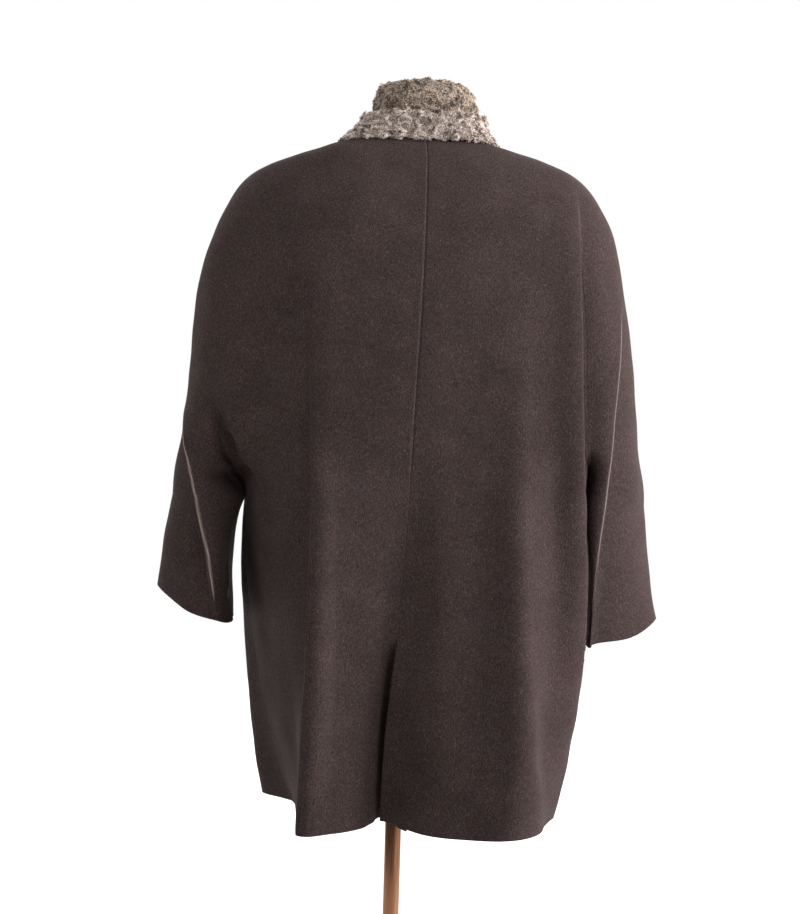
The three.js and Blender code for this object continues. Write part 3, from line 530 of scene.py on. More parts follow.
# Drape folds, seen from behind (face 1) or in front (face -1). Each follows a line of
# (x, z, height in mm) from its upper end, or from the wearer's left. Its two reaches are to the
# wearer's left of the line and to the right, or below it and above. A sharp step is a ridge and
# a hollow side by side, each with its short reach towards the other.
DRAPE_FOLDS = [
    # name, face, reach, reach, line
    ("left_back_crest", 1, 4.5, 36, [
        (134, 1250, 0), (127, 1080, 4), (119, 860, 9), (119, 700, 10), (126, 505, 8),
    ]),
    ("left_back_step", 1, 28, 4, [
        (141, 1240, 0), (134, 1070, -5), (126, 860, -10), (126, 700, -11), (133, 505, -7),
    ]),
    ("right_back_ridge", 1, 24, 13, [
        (-133, 1230, 0), (-138, 1080, 3), (-144, 800, 5), (-158, 640, 7), (-172, 505, 6),
    ]),
    ("right_back_hollow", 1, 22, 26, [(-182, 1150, 0), (-186, 980, -4), (-192, 760, -6), (-186, 600, -6)]),
    ("right_blade_crest", 1, 26, 3.5, [
        (-204, 1350, 0), (-207, 1295, 4), (-210, 1187, 9), (-219, 970, 10), (-226, 808, 9), (-230, 740, 5),
    ]),
    ("right_blade_step", 1, 3.5, 16, [
        (-211, 1350, 0), (-214, 1295, -3), (-217, 1187, -7), (-225, 1010, -7), (-230, 900, 0),
    ]),
    ("right_sleeve_crease", 1, 20, 3.5, [
        (-274, 1200, 0), (-270, 1169, 3), (-265, 1117, 8), (-255, 960, 7), (-247, 869, 4), (-243, 808, 1),
    ]),
    ("right_sleeve_step", 1, 3.5, 22, [
        (-280, 1200, 0), (-276, 1169, -3), (-271, 1117, -7), (-261, 960, -7), (-253, 869, -5),
        (-249, 808, -2),
    ]),
    ("left_sleeve_crease", 1, 3.5, 26, [
        (303, 1045, 0), (292, 990, 9), (284, 954, 13), (261, 850, 13), (253, 800, 7), (250, 776, 0),
    ]),
    ("left_sleeve_step", 1, 26, 3.5, [
        (309, 1040, 0), (298, 990, -8), (290, 954, -10), (267, 850, -11), (259, 800, -6), (256, 776, 0),
    ]),
    ("left_droop", 1, 4.5, 30, [
        (290, 1090, 0), (246, 1042, 8), (234, 1019, 13), (218, 988, 14), (202, 970, 9),
    ]),
    ("left_droop_hollow", 1, 17, 4.5, [
        (262, 1046, -2), (252, 1036, -7), (241, 1012, -13), (225, 982, -14), (212, 965, -6),
    ]),
    ("left_droop_lip", 1, 4, 14, [(268, 960, 3), (240, 964, 6), (222, 966, 3)]),
    ("left_droop_shadow", 1, 20, 4, [(268, 953, -4), (242, 956, -9), (224, 959, -8), (208, 962, 0)]),
    ("left_blade_softness", 1, 60, 50, [(196, 1260, 0), (190, 1120, -5), (176, 1000, -4)]),
    ("centre_back_lie", 1, 26, 26, [(-11, 1250, 0), (-4, 1050, -2), (6, 820, -3)]),
    ("left_cuff_fold", 1, 3.5, 9, [(230, 868, 0), (233, 834, 4), (237, 793, 3)]),
    ("left_cuff_tuck", 1, 12, 3.5, [(236, 868, 0), (239, 834, -5), (243, 793, -4)]),
    ("left_front_swell", -1, 30, 40, [(118, 1120, 0), (122, 900, 6), (128, 700, 9), (130, 505, 8)]),
    ("right_front_swell", -1, 40, 28, [(-112, 1090, 0), (-118, 880, 7), (-124, 680, 9), (-120, 505, 8)]),
    ("left_front_trough", -1, 24, 18, [(164, 1010, 0), (168, 860, -6), (172, 640, -7), (168, 520, -5)]),
    ("right_front_trough", -1, 18, 24, [(-158, 980, 0), (-166, 820, -7), (-170, 620, -6), (-160, 520, -4)]),
    ("left_front_sleeve_crease", -1, 6, 24, [(288, 1100, 0), (276, 980, 6), (268, 870, 8), (266, 780, 6)]),
    ("right_front_sleeve_crease", -1, 24, 6, [
        (-286, 1120, 0), (-274, 990, 6), (-266, 860, 8), (-268, 760, 6),
    ]),
    ("left_front_droop", -1, 12, 26, [(292, 1130, 0), (256, 1070, 7), (222, 990, 6)]),
    ("right_front_droop", -1, 26, 12, [(-294, 1110, 0), (-258, 1060, 8), (-226, 985, 6)]),
]


FACING_GAIN = 2.5         # how soon a fold comes up as the cloth turns towards its side


def beside(flat, a, b):
    """How far from a to b each point of a plane lies, 0 to 1, and its offset from there."""
    along = (b - a)[:2]
    t = np.clip(((flat - a[:2]) @ along) / (along @ along), 0, 1)
    return t, flat - a[:2] - t[:, None] * along


def drape_lift(where, facing):
    total = np.zeros(len(where))
    for _, face, reach_left, reach_right, line in DRAPE_FOLDS:
        line = np.array(line, float)
        nearest = np.full(len(where), np.inf)
        lift = np.zeros(len(where))
        for a, b in zip(line, line[1:]):
            t, off = beside(where[:, [0, 2]], a, b)
            on_left = (b - a)[0] * off[:, 1] > (b - a)[1] * off[:, 0]
            away = np.hypot(off[:, 0], off[:, 1]) / np.where(on_left, reach_left, reach_right)
            here = mix(a[2], b[2], t) * np.exp(-away**2)
            lift = np.where(away < nearest, here, lift)
            nearest = np.minimum(nearest, away)
        total += lift * smooth(facing[:, 1] * face * FACING_GAIN)
    return total


# Along the sleeves' sharp folds a highlight is painted into the colour: how strongly, and how far in mm
PAINTED_HIGHLIGHT_FOLDS = {"left_sleeve_crease": 0.95, "right_sleeve_crease": 0.7, "left_cuff_fold": 0.8}
HIGHLIGHT_REACH = 0.8
HIGHLIGHT_ASIDE = -0.3          # from the fold's line towards its step
HIGHLIGHT_GAIN = 1.5            # it is full where the fold has two thirds of its height


def painted_crest_highlight(where, facing):
    total = np.zeros(len(where))
    for name, face, reach_left, reach_right, line in DRAPE_FOLDS:
        if name not in PAINTED_HIGHLIGHT_FOLDS:
            continue
        line = np.array(line, float)
        line[:, 0] += HIGHLIGHT_ASIDE if reach_left < reach_right else -HIGHLIGHT_ASIDE
        for a, b in zip(line, line[1:]):
            t, off = beside(where[:, [0, 2]], a, b)
            high = smooth(HIGHLIGHT_GAIN * mix(a[2], b[2], t) / line[:, 2].max())
            close = np.exp(-(np.linalg.norm(off, axis=1) / HIGHLIGHT_REACH) ** 2)
            total = np.maximum(total, PAINTED_HIGHLIGHT_FOLDS[name] * high * close * (facing[:, 1] * face > 0.05))
    return total


# Slow waves keep the cloth from lying too smooth: (wavelength, height, direction seed)
WAVES = [(150, 0.9, 1), (96, 0.6, 2), (61, 0.35, 3), (43, 0.22, 4)]


def wave_lift(where):
    total = np.zeros(len(where))
    for length, height, seed in WAVES:
        draw = np.random.default_rng(seed)
        for _ in range(4):
            direction = draw.normal(size=3) * (1, 1, 0.45)
            turns = where @ direction / np.linalg.norm(direction) * 2 * math.pi / length
            total += height / 2 * np.sin(turns + draw.uniform(0, 2 * math.pi))
    return total


normals = point_normals(coat)
crest_highlight_values = painted_crest_highlight(coat, normals)
coat = coat + normals * (drape_lift(coat, normals) + wave_lift(coat))[:, None]
normals = point_normals(coat)

# Laps and vent: how far each panel is sunk, by its own place and level. The left back drops
# behind the right back along the vent, and the right back's edge stands a little open.
VENT_DEPTHS = [(HEM_LEVEL, 8), (560, 20), (640, 26), (710, 18), (VENT_TOP, 2)]
VENT_OPENING = [(HEM_LEVEL, -3), (560, -5), (625, -6), (700, -3), (VENT_TOP, 0)]
VENT_FADE = 14
UNDERLAP_DROP = 7
UNDERLAP_FADE = 70
LAP = 0.5                 # counted in body folds, as the other widths across a panel are

id_place = np.full(len(coat), np.nan)
id_place[body_ids] = body_columns[None, :]
for stretch in (0, 3, 4, 7):
    first = stretch_first[stretch]
    ids = stretches[stretch][1][:-1]
    span = slice(first, first + len(ids))
    id_place[yoke_ids[:, span]] = id_place[ids][None, :]
full_turn = len(BODY_FOLDS)
from_back = np.where(id_place > full_turn / 2, id_place - full_turn, id_place)
from_front = id_place - CENTRE_FRONT
base_z = coat[:, 2]


def lap_from(panel, low, high, offsets, keep):
    """The quads of a neighbouring panel between two places, which lie under this one's edge."""
    chosen = quads[panels == panel]
    within = (offsets[chosen] >= low - 1e-6) & (offsets[chosen] <= high + 1e-6) & keep[chosen]
    return chosen[np.all(within, axis=1)]


below_vent = np.zeros(len(coat), bool)
below_vent[body_ids[vent_row + 1:]] = True
anywhere = np.isfinite(id_place)
panel_faces = {
    name: quads[panels == name] for name in ("back_left", "back_right", "front_left", "front_right")
}
with np.errstate(invalid="ignore"):
    underlaps = {
        "back_left": lap_from("back_right", -LAP, 0, from_back, below_vent),
        "front_left": lap_from("front_right", 0, LAP, from_front, anywhere),
        "front_right": lap_from("front_left", -LAP, 0, from_front, anywhere),
    }
    depth = np.interp(base_z, *zip(*VENT_DEPTHS))
    in_vent = smooth((VENT_TOP - base_z) / VENT_FADE) * np.isin(np.arange(len(coat)), body_ids)
    under = smooth((0.32 - from_back) / 0.27)
    near = np.where(from_back > 0, smooth(1 - from_back / 0.45), mix(1, 0.6, smooth(-from_back / LAP)))
    back_left_sink = np.nan_to_num(in_vent * (LAP_DEPTH * under + depth * near))
    front_left_sink = np.nan_to_num(LAP_DEPTH * smooth((from_front + LAP + 0.3) / 0.26))
    opening = np.interp(base_z, *zip(*VENT_OPENING)) * in_vent
    back_right_shift = np.nan_to_num(-opening * smooth(1 + from_back / 0.6) * (from_back <= 0))
    hem_near = smooth((HEM_LEVEL + UNDERLAP_FADE - base_z) / UNDERLAP_FADE)
    underlap_drop = np.nan_to_num(
        -UNDERLAP_DROP * hem_near * smooth(-from_back / 0.3) * (from_back < 0)
    )
for name, faces in underlaps.items():
    panel_faces[name] = np.concatenate([panel_faces[name], faces])
nothing = np.zeros(len(coat))
moves = {
    # sink along the normal, shift in x, shift in z
    "back_left": (back_left_sink, nothing, underlap_drop),
    "back_right": (nothing, back_right_shift, nothing),
    "front_left": (front_left_sink, nothing, nothing),
    "front_right": (nothing, nothing, nothing),
}

# Seam lines: centre back above the vent, sides, underarms and overarms
seam_rows = [body_ids[:vent_row + 1, 0], body_ids[:, left], body_ids[:, right], yoke_ids[:, 0]]
for side, ids in sleeve_ids.items():
    seam_rows += [ids[:, 0], ids[:, overarm_columns[side]]]
for stretch in (2, 6):
    seam_rows.append(yoke_ids[:, stretch_first[stretch]])
seam_ids = np.concatenate(seam_rows)
SEAM_SINK = 0.1
SEAM_REACH = 2.2
EDGE_ROUND = 0.9


def add_mesh(name, vertices, faces, material, smooth_shading=True):
    """A mesh object from points in millimetres."""
    mesh = bpy.data.meshes.new(name)
    mesh.from_pydata((np.asarray(vertices) * MM).tolist(), [], [list(map(int, f)) for f in faces])
    mesh.materials.append(material)
    if smooth_shading:
        mesh.polygons.foreach_set("use_smooth", [True] * len(mesh.polygons))
    made = bpy.data.objects.new(name, mesh)
    bpy.context.scene.collection.objects.link(made)
    return made


def add_values(mesh, name, values):
    """A value for each point of a mesh, which a material reads by its name."""
    layer = mesh.attributes.new(name, "FLOAT", "POINT")
    layer.data.foreach_set("value", np.asarray(values, np.float32))


def hung(piece):
    """Moves a piece of the coat to where the coat hangs on the form."""
    piece.data.transform(Matrix.Translation((HANG_SHIFT * MM, 0, 0)))
    return piece


def rim_edges(faces):
    """Directed edges that only one face uses."""
    edges = np.concatenate([faces[:, [k, (k + 1) % 4]] for k in range(4)])
    there = {tuple(e) for e in edges.tolist()}
    return np.array([e for e in there if (e[1], e[0]) not in there])


def towards_faces(where, faces):
    """From each point to the middle of the faces that meet there."""
    middles = where[faces].mean(axis=1)
    total, hits = np.zeros_like(where), np.zeros(len(where))
    for k in range(4):
        np.add.at(total, faces[:, k], middles)
        np.add.at(hits, faces[:, k], 1)
    return total / np.maximum(hits, 1)[:, None] - where


def wall(outer, inner, faces, rounding):
    """Points and faces of a closed wall whose open edges are rounded by so much."""
    total = len(outer)
    rims = rim_edges(faces)
    rim_points = np.unique(rims)
    order = {int(p): i for i, p in enumerate(rim_points)}
    outwards = -unit(towards_faces(outer, faces))[rim_points]
    middle = (outer[rim_points] + inner[rim_points]) / 2 + outwards * rounding[rim_points][:, None]
    result = faces.tolist() + (faces[:, ::-1] + total).tolist()
    for a, b in rims:
        mid_a, mid_b = 2 * total + order[int(a)], 2 * total + order[int(b)]
        result += [[b, a, mid_a, mid_b], [mid_b, mid_a, a + total, b + total]]
    return np.concatenate([outer, inner, middle]), result


def coat_panel(name, faces):
    sink, shift_x, shift_z = moves[name]
    used, local = np.unique(faces, return_inverse=True)
    local = local.reshape(faces.shape)
    out = normals[used]
    on_seam = np.isin(used, seam_ids)
    outer = coat[used] + np.stack([shift_x[used], nothing[used], shift_z[used]], axis=1)
    outer = outer - out * sink[used][:, None]
    tree = kdtree.KDTree(int(on_seam.sum()))
    for i, p in enumerate(outer[on_seam]):
        tree.insert(p, i)
    tree.balance()
    seam_away = np.array([tree.find(p)[2] for p in outer])
    outer = outer - out * (SEAM_SINK * np.exp(-(seam_away / SEAM_REACH) ** 2))[:, None]
    rims = np.unique(rim_edges(local))
    inward = towards_faces(outer, local)
    inward = unit(inward - out * (inward * out).sum(axis=1, keepdims=True))
    outer[rims] += inward[rims] * SEAM_HALF
    rounding = np.where(on_seam, 0.0, EDGE_ROUND)
    vertices, walls = wall(outer, outer - out * CLOTH, local, rounding)
    panel = hung(add_mesh("cloth_" + name, vertices, walls, wool))
    seam_vertex = np.concatenate([on_seam, on_seam, on_seam[rims]])
    for side_face in panel.data.polygons[2 * len(local):]:
        side_face.use_smooth = not seam_vertex[list(side_face.vertices)].all()
    # the painted highlight along sharp folds, on the outer face only
    outside = np.concatenate([crest_highlight_values[used], nothing[used], nothing[used][rims]])
    add_values(panel.data, "painted_crest_highlight", outside)
    return panel


cloth = {}
for name, faces in panel_faces.items():
    cloth[name] = coat_panel(name, faces)
    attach(cloth[name], "root")
    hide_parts(name)


# Fur collar: curly lamb-like pile on a soft skin, cut as a stand that rises round the neck and
# a fall that springs from its middle and lies on the shoulders. The pile is short locks, beige
# at the tips and dark in clumps, brushed down and left to curl; the fall is paler and greyer.
FUR = 10
SKIN = 3
SKIN_ROUND = 0.8
COLLAR_GAP = 2.2
NECK_CLEAR = 0.8
FUR_ROOT = FUR - SKIN
STAND_RISE = 0.97                   # of the stand's height, up to where its top rounds over
STAND_ROWS = np.array([
    # share up, half width, back, front, sideways sway
    (0, 88, 63, 89, 0), (0.25, 79, 59, 80, -5), (0.5, 76, 57, 73, -7), (0.625, 76.5, 59, 73, -7),
    (0.75, 74, 57, 69, -6), (0.875, 68.5, 53, 64, -5), (1, 61, 47, 57, -4),
], float)
STAND_TOP = (1484, 1487, 1462)      # side, back, front
FALL_TOP = (1441, 1440, 1404)
FALL_REACH = (11.72, 10.3, 10.6)    # yoke levels at the lower edge
FALL_CLEAR = 2
FALL_SWELL = -4
FALL_RISE = (-1, 3)
INNER_SWELL = 0.3
TIER_CLEAR = 2.5
COLLAR_COLUMNS = 240
LOCK_WIDTH = 0.42
STAND_LOCK = 5.4
FALL_LOCK = 6.6
CLUMP = 12                          # across a clump that leans one way
PARTING_X = -16                     # where the pile parts over the collar's back seam
PARTING_LINE = [(PARTING_X, 1445), (PARTING_X, 1415)]
ROLL_LINE = [(66, 1450), (40, 1466), (8, 1479), (-25, 1475), (-58, 1458)]


def by_side(values, s):
    side, back, front = values
    return mix(side, np.where(s > 0, back, front), np.abs(s) ** CLIMB_POWER)


def neck_height(angle):
    return yoke_at(angle, np.full(len(angle), float(NECK_LEVEL)))[:, 2] + NECK_CLEAR


def stand_at(angle, up, inset):
    """The stand's face at a share of its height, set in from its outside."""
    c, s = np.cos(angle), np.sin(angle)
    half, back, front, sway = (np.interp(up, STAND_ROWS[:, 0], column) for column in STAND_ROWS[:, 1:].T)
    return np.stack([
        np.sign(c) * (half - inset) * np.abs(c) ** OVAL_POWER + sway,
        np.sign(s) * (np.where(s > 0, back, front) - inset) * np.abs(s) ** OVAL_POWER,
        mix(neck_height(angle), by_side(STAND_TOP, s), up),
    ], axis=1)


def outward(where, by):
    return where + unit(where * (1, 1, 0)) * np.reshape(by, (-1, 1))


def fall_at(angle, up, out):
    """The fall's inner face moved out by a share of its thickness, 0 inside and 1 outside."""
    s = np.sin(angle)
    low = yoke_at(angle, by_side(FALL_REACH, s)) + (0, 0, FALL_CLEAR)
    base = neck_height(angle)
    share = (by_side(FALL_TOP, s) - base) / (by_side(STAND_TOP, s) - base)
    high = outward(stand_at(angle, share, 0), TIER_CLEAR)
    inside = mix(low, high, up[:, None])
    swell = FALL_SWELL * np.sin(math.pi * up)
    face = outward(inside, mix(INNER_SWELL * swell, FUR + swell, out))
    face[:, 2] += mix(0, mix(*FALL_RISE, up), out)
    return face


angles = np.radians(np.linspace(270 - COLLAR_GAP, COLLAR_GAP - 90, COLLAR_COLUMNS + 1))


def skin(name, place, rows, material):
    """A thin wall of collar skin from place(angle, up) -> inner and outer points."""
    grid_angle = np.repeat(angles, rows + 1)
    grid_up = np.tile(np.linspace(0, 1, rows + 1), len(angles))
    inner, outer = place(grid_angle, grid_up)
    low = np.arange(len(angles) - 1)[:, None] * (rows + 1) + np.arange(rows)[None]
    faces = np.stack([low, low + 1, low + rows + 2, low + rows + 1], axis=-1).reshape(-1, 4)
    vertices, walls = wall(outer, inner, faces, np.full(len(outer), SKIN_ROUND))
    return hung(add_mesh(name, vertices, walls, material))


def fur_material(name, pale, mid, dark, root):
    """Lamb-like fur: soft, low gloss, sheen at its edges, colour from clump to clump, and darker
    towards the roots with painted shade."""
    material = new_material(name)
    tone = node(material, "Attribute", its_attribute_name="tone")
    along = node(material, "Attribute", its_attribute_name="along")
    colour = ramp(material, tone, "Fac", [(0.08, dark), (0.38, mid), (0.68, pale)])
    # painted shade: each lock is darker towards its root
    root_shade = ramp(material, along, "Fac", [(0.0, root), (0.75, "#ffffff")])
    shaded = multiplied(material, (colour, "Color"), (root_shade, "Color"))
    surface(
        material, shaded, Roughness=0.7, Sheen_Weight=0.3, Sheen_Roughness=0.4, Specular_IOR_Level=0.3,
    )
    return material


skin_material = grained(
    "dressed_skin", 1.6, [(0.32, "#453a33"), (0.48, "#877769"), (0.64, "#c4b3a4")],
    relief=(0.9, 0.002), texture={"Detail": 4.0}, Roughness=0.9, Sheen_Weight=0.2,
)


def wander(where, length, seed, waves=7):
    """A smooth wandering value of about -1 to 1, which changes over the given length."""
    draw = np.random.default_rng(seed)
    total = np.zeros(len(where))
    for _ in range(waves):
        direction = draw.normal(size=3)
        direction /= np.linalg.norm(direction)
        turns = where @ direction * 2 * math.pi / (length * draw.uniform(0.7, 1.6))
        total += np.sin(turns + draw.uniform(0, 6.3))
    return total / math.sqrt(waves / 2)


def line_nearness(where, line, reach):
    """1 on a line of (x, z) seen from behind, falling to 0 away from it."""
    line = np.array(line, float)
    away = [np.linalg.norm(beside(where[:, [0, 2]], a, b)[1], axis=1) for a, b in zip(line, line[1:])]
    return np.exp(-(np.min(away, axis=0) / reach) ** 2) * (where[:, 1] > 0)


def fur_locks(name, roots, out, length, material, tone_shift, groove_and_shade, seed):
    """Tapered three-sided locks on roots, which lie over in clumps and curl."""
    draw = np.random.default_rng(seed)
    total = len(roots)
    down = np.tile([0.0, 0.0, -1.0], (total, 1))
    down = unit(down - out * (down * out).sum(axis=1, keepdims=True), 0.2)
    side = np.cross(out, down)
    swirl = 1.4 * wander(roots, CLUMP * 1.4, seed + 1) + draw.normal(0, 0.35, total)
    along = down * np.cos(swirl)[:, None] + side * np.sin(swirl)[:, None]
    across = np.cross(out, along)
    curl = 0.6 * wander(roots, CLUMP * 0.8, seed + 3) + draw.normal(0, 0.45, total)
    clumps = wander(roots, CLUMP, seed + 4)
    rise = np.clip(0.85 + 0.3 * clumps + draw.normal(0, 0.22, total), 0.3, 1.7)
    size = length * draw.uniform(0.65, 1.15, total)
    roots = roots + out * (0.9 * clumps - 1.8 * groove_and_shade)[:, None]
    stages = np.array([
        # share along, out, lean, curl, half width
        (0.0, -0.1, 0.0, 0.0, 0.9),
        (0.55, 0.30, 0.42, 0.15, 1.0),
        (1.0, 0.14, 0.90, 0.75, 0.0),
    ])
    rows = []
    for _, up, lean, turn, _ in stages:
        way = out * (up * rise)[:, None] + along * lean * 0.9 + across * (turn * curl)[:, None] * 0.6
        rows.append(roots + way * size[:, None])
    width = LOCK_WIDTH * draw.uniform(0.7, 1.25, total)
    vertices = np.zeros((total, 7, 3))
    for k in range(2):
        ahead = unit(rows[k + 1] - rows[max(k - 1, 0)])
        u = unit(np.cross(ahead, side))
        v = np.cross(ahead, u)
        for corner in range(3):
            turn = 2 * math.pi * corner / 3
            spoke = u * math.cos(turn) + v * math.sin(turn)
            vertices[:, 3 * k + corner] = rows[k] + spoke * (width * stages[k, 4])[:, None]
    vertices[:, 6] = rows[2]
    faces = [(0, 1, 2)]
    for corner in range(3):
        after = (corner + 1) % 3
        faces += [(corner, corner + 3, after + 3), (corner, after + 3, after), (3 + corner, 6, 3 + after)]
    faces = (np.array(faces)[None] + 7 * np.arange(total)[:, None, None]).reshape(-1, 3)
    locks = add_mesh(name, vertices.reshape(-1, 3), faces, material)
    tone = 0.53 + tone_shift + 0.2 * wander(roots, CLUMP, seed + 6) + 0.16 * wander(roots, 6, seed + 7)
    # painted shade: the tone is darker along the parting and the stand's roll line, where the locks are sunk
    tone = np.clip(tone - 0.5 * groove_and_shade + draw.normal(0, 0.07, total), 0, 1)
    add_values(locks.data, "tone", np.repeat(tone, 7))
    add_values(locks.data, "along", np.tile(stages[[0, 0, 0, 1, 1, 1, 2], 0], total))
    return hung(locks)


def scattered(place, total, seed, up_range=(0.0, 1.0)):
    """Even random roots on a face place(angle, up), with their outward directions."""
    draw = np.random.default_rng(seed)
    tries = total * 3
    angle = draw.uniform(math.radians(COLLAR_GAP - 90), math.radians(270 - COLLAR_GAP), tries)
    up = draw.uniform(*up_range, tries)
    small = 0.01
    here = place(angle, up)
    across = place(angle + small, up) - here
    rising = place(angle, np.clip(up + small, 0, 1.01)) - here
    out = np.cross(across, rising)
    area = np.linalg.norm(out, axis=1)
    keep = draw.uniform(0, 1, tries) < area / np.quantile(area, 0.98)
    chosen = np.flatnonzero(keep)[:total]
    return here[chosen], out[chosen] / area[chosen][:, None]


stand_fur = fur_material("curly_fur_olive", "#f0d9c3", "#b9a08a", "#43382f", "#a39890")
fall_fur = fur_material("curly_fur_taupe", "#ffefe6", "#dac6bb", "#4c4547", "#a8a09c")

stand_skin = skin(
    "collar_stand_skin",
    lambda a, u: (stand_at(a, u * STAND_RISE, FUR), stand_at(a, u * STAND_RISE, FUR_ROOT)), 16, skin_material,
)
stand_outer = scattered(lambda a, u: stand_at(a, u * STAND_RISE, FUR_ROOT), 14200, 21)
stand_rim = scattered(lambda a, u: stand_at(a, STAND_RISE + 0 * u, FUR - SKIN * u), 1500, 22)
stand_inner = scattered(lambda a, u: stand_at(a, u * STAND_RISE, FUR), 3300, 23, (0.45, 1.0))
rim_out = unit(stand_rim[0] * (0.006, 0.006, 0) + (0, 0, 0.8))
stand_roots = np.concatenate([stand_outer[0], stand_rim[0], stand_inner[0]])
stand_locks = fur_locks(
    "collar_stand_fur", stand_roots, np.concatenate([stand_outer[1], rim_out, -stand_inner[1]]),
    STAND_LOCK, stand_fur, -0.02, line_nearness(stand_roots, ROLL_LINE, 3.5), 31,
)
fall_skin = skin(
    "collar_fall_skin", lambda a, u: (fall_at(a, u, 0.05), fall_at(a, u, 0.32)), 14, skin_material,
)
fall_outer = scattered(lambda a, u: fall_at(a, u, 0.3), 17200, 24)
fall_edge = scattered(lambda a, u: fall_at(a, 0 * u, 0.3 * u), 2200, 25)
edge_out = unit(fall_edge[0] * (1, 1, 0)) * 0.8 + (0, 0, -0.6)
fall_roots = np.concatenate([fall_outer[0], fall_edge[0]])
fall_locks = fur_locks(
    "collar_fall_fur", fall_roots, np.concatenate([fall_outer[1], edge_out]), FALL_LOCK, fall_fur, 0.03,
    line_nearness(fall_roots, PARTING_LINE, 2.4), 32,
)
for tier, base, locks, flat in (
    ("collar_stand", stand_skin, stand_locks, (0.46, 0.081)),
    ("collar_fall", fall_skin, fall_locks, (0.6, 0.052)),
):
    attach(base, "root")
    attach(locks, "root")
    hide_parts(tier)


# Buttons: four round horn-look buttons with a raised rim and four holes, sewn through the right
# front with doubled thread. Cast polyester, turned and polished to a satin.
BUTTON_RADIUS = 15
BUTTON_THICK = 4.5
BUTTON_LEVELS = (1290, 1165, 1040, 915)
BUTTON_LIFT = 1.6
HOLE_OUT = 2.1            # each hole's centre from the button's, both ways
HOLE_RADIUS = 1.1
THREAD = 0.55
THREAD_PAIR = 0.35        # half the way between the two threads of a stitch
STRAND = 3.2              # length of thread in a hole
STITCH = 6.25             # length of a stitch across the button's face
STITCH_OUT = 2.22         # where it starts, just outside the hole's centre
STITCH_LEVEL = 3.5

horn = grained(
    "polished_horn_resin", 9, [(0.3, "#14100e"), (0.55, "#2e2420"), (0.75, "#54433a")],
    gloss=(0.28, 0.42), texture={"Detail": 4.0, "Distortion": 1.5}, IOR=1.54,
)
thread_cotton = grained("spun_polyester_thread", 0.4, [(0.3, "#1c1614"), (0.7, "#3a2e2a")], Roughness=0.8)


def ringed(name, rings, low, high, material):
    """A closed solid from rings of points round Z, lowest first, with its ends' heights."""
    count = len(rings[0])
    vertices = np.concatenate([[(0, 0, low)], *rings, [(0, 0, high)]])
    top = len(vertices) - 1
    faces = []
    for k in range(count):
        after = (k + 1) % count
        faces.append((0, 1 + after, 1 + k))
        for start in range(1, top - count, count):
            faces.append((start + k, start + after, start + count + after, start + count + k))
        faces.append((top, top - count + k, top - count + after))
    return add_mesh(name, vertices, faces, material)


def ring_at(height, half, back, front, count):
    turns = 2 * math.pi * np.arange(count) / count
    depth = np.where(np.sin(turns) > 0, back, front)
    return np.stack([half * np.cos(turns), depth * np.sin(turns), np.full(count, height)], axis=1)


def turned(name, profile, count, material):
    """A solid turned round Z from (radius, height) points that start and end on the axis."""
    rings = [ring_at(height, radius, radius, radius, count) for radius, height in profile[1:-1]]
    return ringed(name, rings, profile[0][1], profile[-1][1], material)


def rod(name, radius, low, high, count, material):
    return turned(name, [(0, low), (radius, low), (radius, high), (0, high)], count, material)


def joined(name, pieces):
    bpy.ops.object.select_all(action="DESELECT")
    for piece in pieces:
        piece.select_set(True)
    bpy.context.view_layer.objects.active = pieces[0]
    bpy.ops.object.join()
    pieces[0].name = name
    return pieces[0]


def arc(centre_r, centre_h, radius, start, end, count):
    """Profile points on an arc, angles in degrees from straight out."""
    turns = np.radians(np.linspace(start, end, count))
    return [(centre_r + radius * math.cos(t), centre_h + radius * math.sin(t)) for t in turns]


